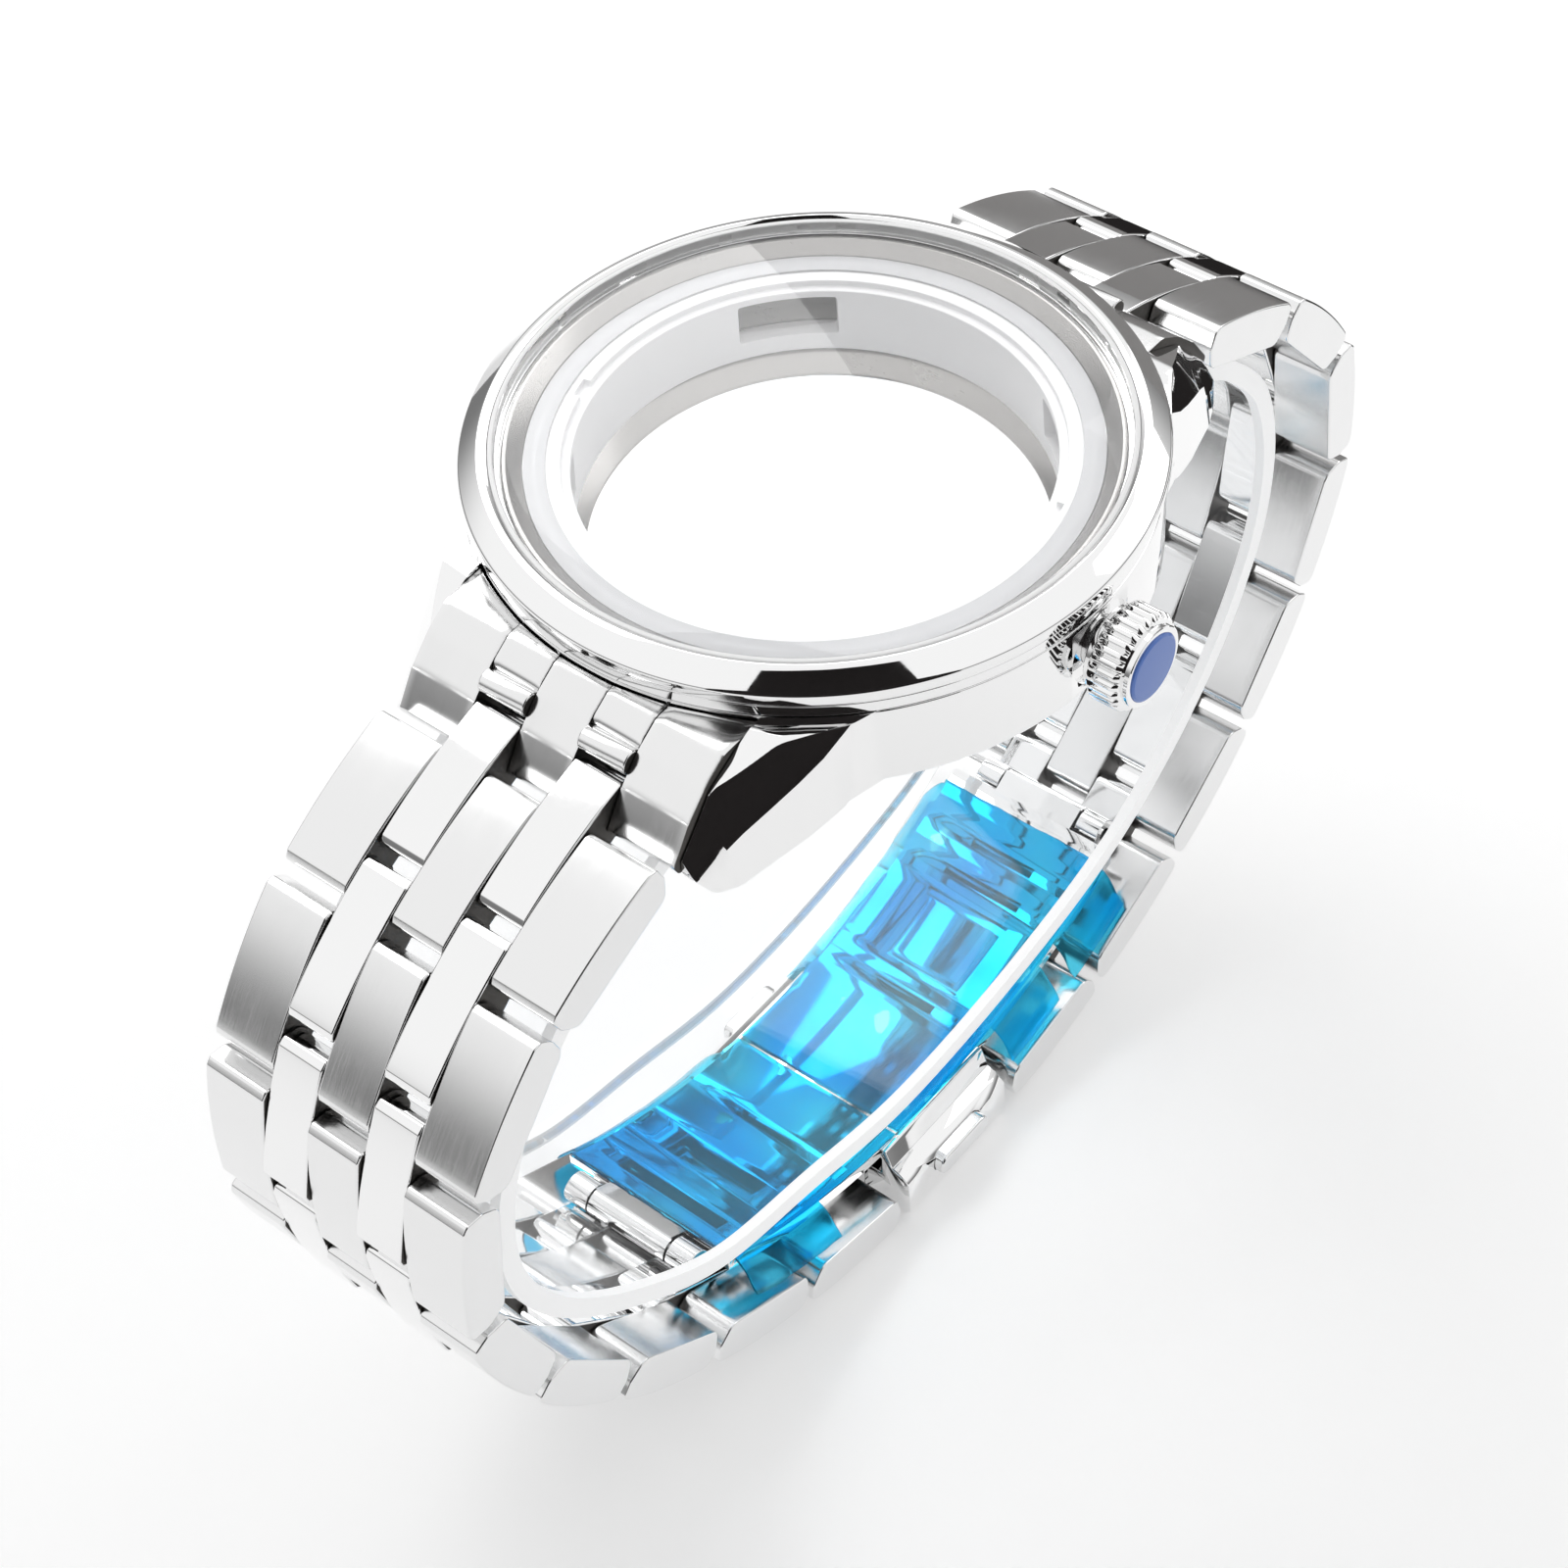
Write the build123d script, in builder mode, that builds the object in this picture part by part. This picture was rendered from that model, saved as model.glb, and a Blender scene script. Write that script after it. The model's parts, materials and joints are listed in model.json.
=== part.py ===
from build123d import *
import math
import os

os.makedirs("parts", exist_ok=True)

# Empty watch case with a five-row bracelet and a folding clasp, in millimetres.
# Origin: centre of the seat that the dial rests on. +Z goes up through the crystal,
# +X towards the crown and +Y towards twelve o'clock. Sizes that name a height are
# measured from the dial seat, and radii from the case's axis.

# How far a cutting tool runs past the face that it opens
OVERRUN = 1.0

# Middle case
CASE_R = 20.0
CASE_RIM_Z = -0.3
CASE_UNDER_Z = -5.8
CASE_BORE_R = 15.9
NECK_STEP = 0.7
NECK_OUTER_R = CASE_R - NECK_STEP
NECK_WALL = 1.6
NECK_INNER_R = NECK_OUTER_R - NECK_WALL
NECK_TOP_Z = 1.0
FLANGE_SEAT_Z = 0.42
BACK_BORE_R = 16.6
RING_UNDER_Z = -4.7

# Bezel
BEZEL_REACH = 0.26
BEZEL_R = CASE_R + BEZEL_REACH
BEZEL_UNDER_Z = -0.25
BEZEL_SKIRT_TOP_Z = 0.53
BEZEL_GROOVE_CUT = 0.25
BEZEL_GROOVE_R = CASE_R - BEZEL_GROOVE_CUT
BEZEL_GROOVE_LOW_Z = 0.6
BEZEL_GROOVE_HIGH_Z = 0.75
BEZEL_BAND_LOW_Z = 0.85
BEZEL_BAND_HIGH_Z = 1.7
BEZEL_CROWN_IN = 0.35
BEZEL_CROWN_R = CASE_R - BEZEL_CROWN_IN
BEZEL_CROWN_Z = 2.22
BEZEL_TOP_IN = 1.3
BEZEL_TOP_R = CASE_R - BEZEL_TOP_IN
BEZEL_TOP_Z = 2.45
BEZEL_LIP_IN = 1.54
BEZEL_LIP_R = CASE_R - BEZEL_LIP_IN
BEZEL_LIP_Z = 2.3
BEZEL_LEDGE_IN = 2.2
BEZEL_LEDGE_R = CASE_R - BEZEL_LEDGE_IN
BEZEL_LEDGE_Z = 1.38
BEZEL_ROOF_Z = 1.05
BEZEL_FIT = 0.03

# Crystal, its gasket and the flange under it
CRYSTAL_IN = 1.9
CRYSTAL_R = CASE_R - CRYSTAL_IN
CRYSTAL_LOW_Z = 1.4
CRYSTAL_EDGE_Z = 2.4
CRYSTAL_TOP_Z = 3.9
GASKET_IN = 1.56
GASKET_R = CASE_R - GASKET_IN
GASKET_TOP_Z = 2.34
FLANGE_GAP = 0.04
FLANGE_R = NECK_INNER_R - FLANGE_GAP
FLANGE_TOP_Z = 1.28
FLANGE_LAND = 0.46
FLANGE_SLOPE_R = FLANGE_R - FLANGE_LAND
FLANGE_INNER_R = 15.2
FLANGE_LOW_Z = 0.44
FLANGE_FOOT_Z = 0.7

# Movement holder ring
HOLDER_R = 15.82
HOLDER_TOP_Z = 0.4
HOLDER_LOW_Z = -4.68
HOLDER_BORE_R = 13.8
DIAL_SEAT_R = 14.35
WINDOW_WIDTH = 5.9
WINDOW_LOW_Z = -3.4
WINDOW_HIGH_Z = -0.5
WINDOW_TURN = 45.0
DIAL_NOTCH_WIDTH = 1.4
DIAL_NOTCH_DEPTH = 0.9

# Crown, its tube and the stem hole
STEM_Z = -3.1
STEM_HOLE_R = 1.0
TUBE_HOLE_R = 1.5
TUBE_R = 1.48
TUBE_BORE_R = 0.95
TUBE_START_X = 16.6
TUBE_END_OUT = 1.9
TUBE_END_X = CASE_R + TUBE_END_OUT
CROWN_START_OUT = 0.45
CROWN_START_X = CASE_R + CROWN_START_OUT
CROWN_END_OUT = 2.95
CROWN_END_X = CASE_R + CROWN_END_OUT
CROWN_R = 3.0
CROWN_FLUTES = 32
FLUTE_DEPTH = 0.22
CROWN_COLLAR_R = 2.55
CROWN_COLLAR_OUT = 0.85
CROWN_COLLAR_X = CASE_R + CROWN_COLLAR_OUT
CROWN_BORE_R = 1.95
CROWN_BORE_END_OUT = 2.2
CROWN_BORE_END_X = CASE_R + CROWN_BORE_END_OUT
CROWN_BOSS_R = 2.5
CROWN_BOSS_OUT = 3.35
CROWN_BOSS_X = CASE_R + CROWN_BOSS_OUT
DISC_R = 2.1
DISC_OUT = 3.5
DISC_X = CASE_R + DISC_OUT
DISC_SEAT_OUT = 3.1
DISC_SEAT_X = CASE_R + DISC_SEAT_OUT
CROWN_GASKET_R = 1.9
CROWN_GASKET_BORE_R = 1.53
CROWN_GASKET_START_OUT = 0.6
CROWN_GASKET_START_X = CASE_R + CROWN_GASKET_START_OUT
CROWN_GASKET_END_OUT = 1.6
CROWN_GASKET_END_X = CASE_R + CROWN_GASKET_END_OUT
RECESS_R = 2.6
RECESS_DEPTH = 0.4
RECESS_X = CASE_R - RECESS_DEPTH

# Case back, its window and gaskets
BACK_R = 18.2
BACK_TOP_Z = -5.83
BACK_LOW_Z = -7.8
BACK_EDGE = 0.5
BACK_NECK_R = 16.5
BACK_NECK_Z = -4.95
BACK_SLOPE_R = 14.6
BACK_LEDGE_R = 13.3
BACK_LEDGE_TOP_Z = -6.1
BACK_LEDGE_LOW_Z = -6.3
BACK_GLASS_R = 14.5
BACK_GLASS_LOW_Z = -7.6
BACK_SEAT_R = 14.82
BACK_GASKET_R = 14.8
BACK_GROOVE_IN_R = 16.95
BACK_GROOVE_OUT_R = 17.55
BACK_GROOVE_DEPTH = 0.45
SEAL_IN_R = 17.0
SEAL_OUT_R = 17.5
SEAL_TOP_Z = -5.84
SEAL_LOW_Z = -6.24
BACK_KEYS = 6
BACK_KEY_WIDTH = 3.0
BACK_KEY_DEPTH = 0.7
BACK_KEY_REACH = 0.9

# Lugs: inner face, the leaning facet at three stations and the side outline
LUG_INNER_X = 10.05
LUG_ROOT_Y = 13.2
LUG_SHOULDER_Y = 18.3
LUG_FRONT_OUT = 4.9
LUG_FRONT_Y = CASE_R + LUG_FRONT_OUT
LUG_FLOOR_Z = -8.6
LUG_ROOT_OUTER_X = 14.9
LUG_ROOT_FOOT_X = 14.9
LUG_SHOULDER_OUTER_X = 13.3
LUG_SHOULDER_OUTER_Z = -2.7
LUG_SHOULDER_FOOT_X = 13.8
LUG_FRONT_TOP_Z = -4.2
LUG_FRONT_OUTER_X = 11.44
LUG_FRONT_OUTER_Z = -6.1
LUG_FRONT_FOOT_X = 12.6
LUG_KNEE_OUT = 1.5
LUG_KNEE_Y = CASE_R + LUG_KNEE_OUT
LUG_KNEE_Z = -1.9
LUG_BROW_OUT = 3.9
LUG_BROW_Y = CASE_R + LUG_BROW_OUT
LUG_BROW_Z = -3.5
LUG_NOSE_OUT = 4.6
LUG_NOSE_Y = CASE_R + LUG_NOSE_OUT
LUG_NOSE_HIGH_Z = -4.9
LUG_NOSE_LOW_Z = -6.3
LUG_CHIN_OUT = 3.8
LUG_CHIN_Y = CASE_R + LUG_CHIN_OUT
LUG_CHIN_Z = -7.6
LUG_HEEL_OUT = 2.4
LUG_HEEL_Y = CASE_R + LUG_HEEL_OUT
LUG_HEEL_Z = -7.9
LUG_ARCH_Y = 15.9
LUG_ARCH_Z = -6.05
LUG_ARCH_END_Y = 15.6

# Spring bars between the lugs
BAR_OUT = 1.05
BAR_Y = CASE_R + BAR_OUT
BAR_Z = -5.7
BAR_R = 0.7
BAR_HALF_LENGTH = 9.6
BAR_TIP_R = 0.4
BAR_TIP_HALF_LENGTH = 11.3
BAR_HOLE_R = 0.45
BAR_HOLE_HALF_LENGTH = 11.6
BAR_SLEEVE_R = 0.76

# Bracelet rows across the width, from the middle outwards
ROW_INNER_X = 1.9
ROW_OUTER_X = 5.3
ROW_GAP = 0.05
BAND_HALF_WIDTH = 10.0
BAND_TAPER = 0.011

# End links between the case and the first links
END_CASE_GAP = 0.12
END_LINK_CASE_R = CASE_R + END_CASE_GAP
END_TOP_Y = CASE_R
END_TOP_Z = -0.5
END_CREST_OUT = 2.0
END_CREST_Y = CASE_R + END_CREST_OUT
END_CREST_Z = -1.55
END_STEP_OUT = 3.6
END_STEP_Y = CASE_R + END_STEP_OUT
END_STEP_Z = -3.1
END_LIP_OUT = 5.15
END_LIP_Y = CASE_R + END_LIP_OUT
END_LIP_Z = -5.4
END_CHIN_OUT = 4.8
END_CHIN_Y = CASE_R + END_CHIN_OUT
END_CHIN_Z = -6.1
END_KEEL_OUT = 3.9
END_KEEL_Y = CASE_R + END_KEEL_OUT
END_KEEL_Z = -6.4
END_HEEL_Z = -6.95
ROLL_OUT = 2.55
ROLL_Y = CASE_R + ROLL_OUT
ROLL_Z = -2.35
ROLL_R = 0.75
ROLL_BACK_OUT = 1.4
ROLL_BACK_Y = CASE_R + ROLL_BACK_OUT
ROLL_FLOOR_Z = -4.6
ROLL_BRIDGE_Z = -3.0

# Links and hinge pins
LINK_LENGTH = 9.8
LINK_THICKNESS = 3.2
LINK_OFFSET = 0.93
LINK_END_FLAT = 0.7
LINK_END_DROP = 0.5
LINK_UNDER_START = 0.2
LINK_UNDER_FLAT = 0.75
PIN_STEP = 5.2
PIN_R = 0.45
PIN_BORE_R = 0.54
PIN_INSET = 1.2

# The pivot at twelve o'clock where the closed loop is left open, without a pin
OPEN_PIN = 7

# Where the bracelet starts
FIRST_PIN_OUT = 4.0
FIRST_PIN_Y = CASE_R + FIRST_PIN_OUT
FIRST_PIN_Z = -4.7

# Slope of every link below the level, from the case down to the clasp, in degrees.
# The links after the free ones all take the same extra turn that closes the loop.
LINK_SLOPES = (22, 25, 38, 50, 69, 84, 97, 109, 117, 125, 132, 139, 145, 151, 157, 163.5, 171)
FREE_LINKS = 6
CLOSING_ACCURACY = 1e-9

# Clasp: two arms and a base plate, curved about one centre inside the links
ARM_GAP = 0.45
ARM_THICKNESS = 1.0
ARM_HALF_WIDTH = 5.2
ARM_FREE_Y = 0.3
ARM_START_Y = 21.25
PLATE_GAP = 0.3
PLATE_THICKNESS = 1.0
PLATE_HALF_WIDTH = 6.75
PLATE_END_Y = 21.2
HINGE_Y = 22.6
HINGE_KNUCKLE_R = 1.1
HINGE_MIDDLE_X = 3.2
HINGE_SIDE_X = 3.35
CLASP_PIN_R = 0.5
CLASP_BORE_R = 0.52
ARM_BORE_R = 0.56
CLASP_LINKS = 13
WEB_REACH = 0.5
LOCK_HALF_LENGTH = 5.45
LOCK_INNER_X = 6.6
LOCK_WALL_X = 6.72
LOCK_GAP = 0.1
LOCK_TOP_DROP = 0.04
LOCK_SHELF_DROP = 1.0

# Push-buttons in the sides of the lock
BUTTON_HALF_LENGTH = 2.6
BUTTON_HALF_HEIGHT = 0.85
BUTTON_RISE = 1.26
BUTTON_ROOT_X = 8.1
BUTTON_STAND = 0.7
POCKET_ROOT_X = 7.2
POCKET_GAP = 0.06

# Protective film on the plate's inner face, in two lengths
FILM_GAP = 0.02
FILM_THICKNESS = 0.14
FILM_HALF_WIDTH = 6.9
FILM_SPLIT_Y = -4.0
FILM_SPLIT_GAP = 0.3
FILM_LOW_Y = -21.0
FILM_HIGH_Y = 19.0

# Loose protective strip inside the bracelet
STRIP_HALF_WIDTH = 8.0
STRIP_THICKNESS = 0.9
STRIP_SIDE_ROOM = 6.38
STRIP_TOP_ROOM = 0.3
STRIP_LOW_ROOM = 5.11
STRIP_SHARES = (
    (-0.622, 0), (-0.757, 0.052), (-0.897, 0.131), (-1.016, 0.254), (-1.068, 0.4),
    (-1.054, 0.534), (-0.973, 0.666), (-0.824, 0.796), (-0.622, 0.912), (-0.378, 0.958),
    (-0.108, 1), (0.224, 0.981), (0.541, 0.912), (0.792, 0.764), (0.951, 0.574), (0.997, 0.4),
    (0.962, 0.238), (0.865, 0.126), (0.757, 0.057), (0.622, 0),
)


def save(piece, name):
    piece.part.label = name
    export_step(piece.part, "parts/" + name + ".step")


def turned(name, outline):
    """A ring about the case's axis from its outline in radius and height."""
    with BuildPart() as ring:
        with BuildSketch(Plane.XZ):
            with BuildLine():
                Polyline(*outline, close=True)
            make_face()
        revolve(axis=Axis.Z)
    save(ring, name)


def turned_x(outline):
    """Lines for a body turned about the crown's axis, as x and distance from it."""
    return [(x, STEM_Z + r) for x, r in outline]


# Loop of hinge points, as distance from the middle and height, for one side
def loop_points(turn):
    y, z = FIRST_PIN_Y, FIRST_PIN_Z
    points = [(y, z)]
    for slope in loop_slopes(turn):
        y += PIN_STEP * math.cos(math.radians(slope))
        z -= PIN_STEP * math.sin(math.radians(slope))
        points.append((y, z))
    return points


def loop_slopes(turn):
    fixed = LINK_SLOPES[:FREE_LINKS]
    return list(fixed) + [slope + turn for slope in LINK_SLOPES[FREE_LINKS:]]


def closing_turn():
    """The extra turn that puts the last pins one step apart, found by halving."""
    low, high = 0.0, 12.0
    while high - low > CLOSING_ACCURACY:
        middle = (low + high) / 2
        if loop_points(middle)[-1][0] > PIN_STEP / 2:
            low = middle
        else:
            high = middle
    return low


TURN = closing_turn()
PINS = loop_points(TURN)
SLOPES = loop_slopes(TURN)

# The clasp's centre of curvature, from the pin where it starts and the lowest pin
LOW_Z = PINS[-1][1]
START_Y, START_Z = PINS[CLASP_LINKS]
START_RISE = START_Z - LOW_Z
CLASP_R = (START_Y ** 2 + START_RISE ** 2) / (2 * START_RISE)
CLASP_Z = LOW_Z + CLASP_R
ARM_OUTER_R = CLASP_R - LINK_THICKNESS / 2 - ARM_GAP
ARM_INNER_R = ARM_OUTER_R - ARM_THICKNESS
PLATE_OUTER_R = ARM_INNER_R - PLATE_GAP
PLATE_INNER_R = PLATE_OUTER_R - PLATE_THICKNESS
HINGE_R = (ARM_OUTER_R + PLATE_INNER_R) / 2
HINGE_Z = CLASP_Z - math.sqrt(HINGE_R ** 2 - HINGE_Y ** 2)


def along(index, share, out, side):
    """A point beside link number index: share along from its first pin, out from its middle."""
    y, z = PINS[index]
    slope = math.radians(SLOPES[index])
    y += share * math.cos(slope) + out * math.sin(slope)
    z += out * math.cos(slope) - share * math.sin(slope)
    return (side * y, z)


def link_start(index):
    """Where the link begins, measured from its first pin."""
    middle = PIN_STEP / 2 + (LINK_OFFSET if index % 2 == 0 else -LINK_OFFSET)
    return middle - LINK_LENGTH / 2


def link_outline(index, side):
    start = link_start(index)
    end = start + LINK_LENGTH
    top = LINK_THICKNESS / 2
    corners = (
        (start + LINK_END_FLAT, top), (end - LINK_END_FLAT, top),
        (end, top - LINK_END_DROP), (end, -LINK_UNDER_START),
        (end - LINK_UNDER_FLAT, -top), (start + LINK_UNDER_FLAT, -top),
        (start, -LINK_UNDER_START), (start, top - LINK_END_DROP),
    )
    points = [along(index, share, out, side) for share, out in corners]
    return points if side > 0 else points[::-1]


def link_plane(index, side):
    """Plane through the link's middle, x along it and y across the bracelet."""
    y, z = along(index, link_start(index) + LINK_LENGTH / 2, 0, side)
    slope = math.radians(SLOPES[index])
    out = (0, side * math.sin(slope), math.cos(slope))
    down = (0, side * math.cos(slope), -math.sin(slope))
    return Plane(origin=(0, y, z), x_dir=down, z_dir=out)


def band_half(index, share):
    """Half the bracelet's width at a place along link number index."""
    return BAND_HALF_WIDTH - BAND_TAPER * (index * PIN_STEP + share)


def outer_link(index, side):
    """Rows one, three and five as one piece with the two pins that they hold."""
    start = link_start(index)
    half = LINK_LENGTH / 2
    near = band_half(index, start)
    far = band_half(index, start + LINK_LENGTH)
    rows = (
        ((-half, -ROW_INNER_X), (half, -ROW_INNER_X), (half, ROW_INNER_X), (-half, ROW_INNER_X)),
        ((-half, ROW_OUTER_X), (half, ROW_OUTER_X), (half, far), (-half, near)),
        ((-half, -near), (half, -far), (half, -ROW_OUTER_X), (-half, -ROW_OUTER_X)),
    )
    with BuildPart() as link:
        with BuildSketch(Plane.YZ):
            with BuildLine():
                Polyline(*link_outline(index, side), close=True)
            make_face()
        extrude(amount=BAND_HALF_WIDTH + OVERRUN, both=True)
        with BuildSketch(link_plane(index, side)):
            for row in rows:
                with BuildLine():
                    Polyline(*row, close=True)
                make_face()
        extrude(amount=LINK_THICKNESS, both=True, mode=Mode.INTERSECT)
        for number in (index, index + 1):
            if side > 0 and number == OPEN_PIN:
                continue
            y, z = PINS[number]
            with BuildSketch(Plane.YZ):
                with Locations((side * y, z)):
                    Circle(PIN_R)
            extrude(amount=far - PIN_INSET, both=True)
    return link


def inner_link(index, side):
    """Rows two and four, bored for the pins."""
    half = LINK_LENGTH / 2
    inner = ROW_INNER_X + ROW_GAP
    outer = ROW_OUTER_X - ROW_GAP
    rows = (
        ((-half, inner), (half, inner), (half, outer), (-half, outer)),
        ((-half, -outer), (half, -outer), (half, -inner), (-half, -inner)),
    )
    with BuildPart() as link:
        with BuildSketch(Plane.YZ):
            with BuildLine():
                Polyline(*link_outline(index, side), close=True)
            make_face()
        extrude(amount=ROW_OUTER_X, both=True)
        with BuildSketch(link_plane(index, side)):
            for row in rows:
                with BuildLine():
                    Polyline(*row, close=True)
                make_face()
        extrude(amount=LINK_THICKNESS, both=True, mode=Mode.INTERSECT)
        for number in (index, index + 1):
            y, z = PINS[number]
            with BuildSketch(Plane.YZ):
                with Locations((side * y, z)):
                    Circle(PIN_BORE_R)
            extrude(amount=ROW_OUTER_X + OVERRUN, both=True, mode=Mode.SUBTRACT)
    return link


# Middle case: the ring, four lugs, the tube hole and the spring bar holes
lug_outline = (
    (LUG_ROOT_Y - OVERRUN, CASE_RIM_Z), (LUG_SHOULDER_Y, CASE_RIM_Z),
    (LUG_KNEE_Y, LUG_KNEE_Z), (LUG_BROW_Y, LUG_BROW_Z), (LUG_NOSE_Y, LUG_NOSE_HIGH_Z),
    (LUG_NOSE_Y, LUG_NOSE_LOW_Z), (LUG_CHIN_Y, LUG_CHIN_Z), (LUG_HEEL_Y, LUG_HEEL_Z),
    (LUG_ARCH_Y, LUG_ARCH_Z), (LUG_ARCH_END_Y, CASE_UNDER_Z), (LUG_ROOT_Y - OVERRUN, CASE_UNDER_Z),
)
lug_stations = (
    (LUG_ROOT_Y, CASE_RIM_Z, LUG_ROOT_OUTER_X, CASE_RIM_Z, LUG_ROOT_FOOT_X),
    (LUG_SHOULDER_Y, CASE_RIM_Z, LUG_SHOULDER_OUTER_X, LUG_SHOULDER_OUTER_Z, LUG_SHOULDER_FOOT_X),
    (LUG_FRONT_Y, LUG_FRONT_TOP_Z, LUG_FRONT_OUTER_X, LUG_FRONT_OUTER_Z, LUG_FRONT_FOOT_X),
)
with BuildPart() as lug:
    for y, top_z, outer_x, outer_z, foot_x in lug_stations:
        with BuildSketch(Plane(origin=(0, y, 0), x_dir=(1, 0, 0), z_dir=(0, -1, 0))):
            with BuildLine():
                Polyline(
                    (LUG_INNER_X, LUG_FLOOR_Z), (foot_x, LUG_FLOOR_Z),
                    (outer_x, outer_z), (LUG_INNER_X, top_z), close=True,
                )
            make_face()
    loft(ruled=True)
    with BuildSketch(Plane.YZ):
        with BuildLine():
            Polyline(*lug_outline, close=True)
        make_face()
    extrude(amount=LUG_ROOT_OUTER_X + OVERRUN, mode=Mode.INTERSECT)
    with BuildSketch(Plane.XY.offset(CASE_UNDER_Z)):
        Circle(NECK_OUTER_R)
    extrude(amount=CASE_RIM_Z - CASE_UNDER_Z, mode=Mode.SUBTRACT)
    with BuildSketch(Plane.YZ):
        with Locations((BAR_Y, BAR_Z)):
            Circle(BAR_HOLE_R)
    extrude(amount=BAR_HOLE_HALF_LENGTH, mode=Mode.SUBTRACT)

with BuildPart() as mid_case:
    with BuildSketch(Plane.XZ):
        with BuildLine():
            Polyline(
                (CASE_R, CASE_UNDER_Z), (CASE_R, CASE_RIM_Z), (NECK_OUTER_R, CASE_RIM_Z),
                (NECK_OUTER_R, NECK_TOP_Z), (NECK_INNER_R, NECK_TOP_Z),
                (NECK_INNER_R, FLANGE_SEAT_Z), (CASE_BORE_R, FLANGE_SEAT_Z),
                (CASE_BORE_R, RING_UNDER_Z), (BACK_BORE_R, RING_UNDER_Z),
                (BACK_BORE_R, CASE_UNDER_Z), close=True,
            )
        make_face()
    revolve(axis=Axis.Z)
    add(lug.part)
    add(lug.part.mirror(Plane.YZ))
    add(lug.part.mirror(Plane.XZ))
    add(lug.part.mirror(Plane.YZ).mirror(Plane.XZ))
    with BuildSketch(Plane.YZ.offset(CASE_BORE_R - OVERRUN)):
        with Locations((0, STEM_Z)):
            Circle(TUBE_HOLE_R)
    extrude(amount=CASE_R + OVERRUN - CASE_BORE_R + OVERRUN, mode=Mode.SUBTRACT)
    with BuildSketch(Plane.YZ.offset(RECESS_X)):
        with Locations((0, STEM_Z)):
            Circle(RECESS_R)
    extrude(amount=OVERRUN, mode=Mode.SUBTRACT)
save(mid_case, "mid_case")

# Rings of the head
turned("bezel", (
    (NECK_OUTER_R + BEZEL_FIT, BEZEL_UNDER_Z), (CASE_R, BEZEL_UNDER_Z),
    (CASE_R, BEZEL_SKIRT_TOP_Z), (BEZEL_GROOVE_R, BEZEL_GROOVE_LOW_Z),
    (BEZEL_GROOVE_R, BEZEL_GROOVE_HIGH_Z), (BEZEL_R, BEZEL_BAND_LOW_Z),
    (BEZEL_R, BEZEL_BAND_HIGH_Z), (BEZEL_CROWN_R, BEZEL_CROWN_Z), (BEZEL_TOP_R, BEZEL_TOP_Z),
    (BEZEL_LIP_R, BEZEL_LIP_Z), (BEZEL_LIP_R, BEZEL_LEDGE_Z), (BEZEL_LEDGE_R, BEZEL_LEDGE_Z),
    (BEZEL_LEDGE_R, BEZEL_ROOF_Z), (NECK_OUTER_R + BEZEL_FIT, BEZEL_ROOF_Z),
))
turned("crystal_gasket", (
    (CRYSTAL_R, CRYSTAL_LOW_Z), (GASKET_R, CRYSTAL_LOW_Z),
    (GASKET_R, GASKET_TOP_Z), (CRYSTAL_R, GASKET_TOP_Z),
))
turned("flange_ring", (
    (FLANGE_R, FLANGE_LOW_Z), (FLANGE_R, FLANGE_TOP_Z), (FLANGE_SLOPE_R, FLANGE_TOP_Z),
    (FLANGE_INNER_R, FLANGE_FOOT_Z), (FLANGE_INNER_R, FLANGE_LOW_Z),
))
turned("case_back_seal", (
    (SEAL_IN_R, SEAL_LOW_Z), (SEAL_OUT_R, SEAL_LOW_Z), (SEAL_OUT_R, SEAL_TOP_Z), (SEAL_IN_R, SEAL_TOP_Z),
))
turned("window_gasket", (
    (BACK_GLASS_R, BACK_GLASS_LOW_Z), (BACK_GASKET_R, BACK_GLASS_LOW_Z),
    (BACK_GASKET_R, BACK_LEDGE_LOW_Z), (BACK_GLASS_R, BACK_LEDGE_LOW_Z),
))

with BuildPart() as crystal:
    with BuildSketch(Plane.XZ):
        with BuildLine():
            Line((0, CRYSTAL_LOW_Z), (CRYSTAL_R, CRYSTAL_LOW_Z))
            Line((CRYSTAL_R, CRYSTAL_LOW_Z), (CRYSTAL_R, CRYSTAL_EDGE_Z))
            TangentArc((0, CRYSTAL_TOP_Z), (CRYSTAL_R, CRYSTAL_EDGE_Z), tangent=(1, 0))
            Line((0, CRYSTAL_TOP_Z), (0, CRYSTAL_LOW_Z))
        make_face()
    revolve(axis=Axis.Z)
save(crystal, "crystal")

with BuildPart() as back_window:
    with BuildSketch(Plane.XY.offset(BACK_GLASS_LOW_Z)):
        Circle(BACK_GLASS_R)
    extrude(amount=BACK_LEDGE_LOW_Z - BACK_GLASS_LOW_Z)
save(back_window, "back_window")

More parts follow.
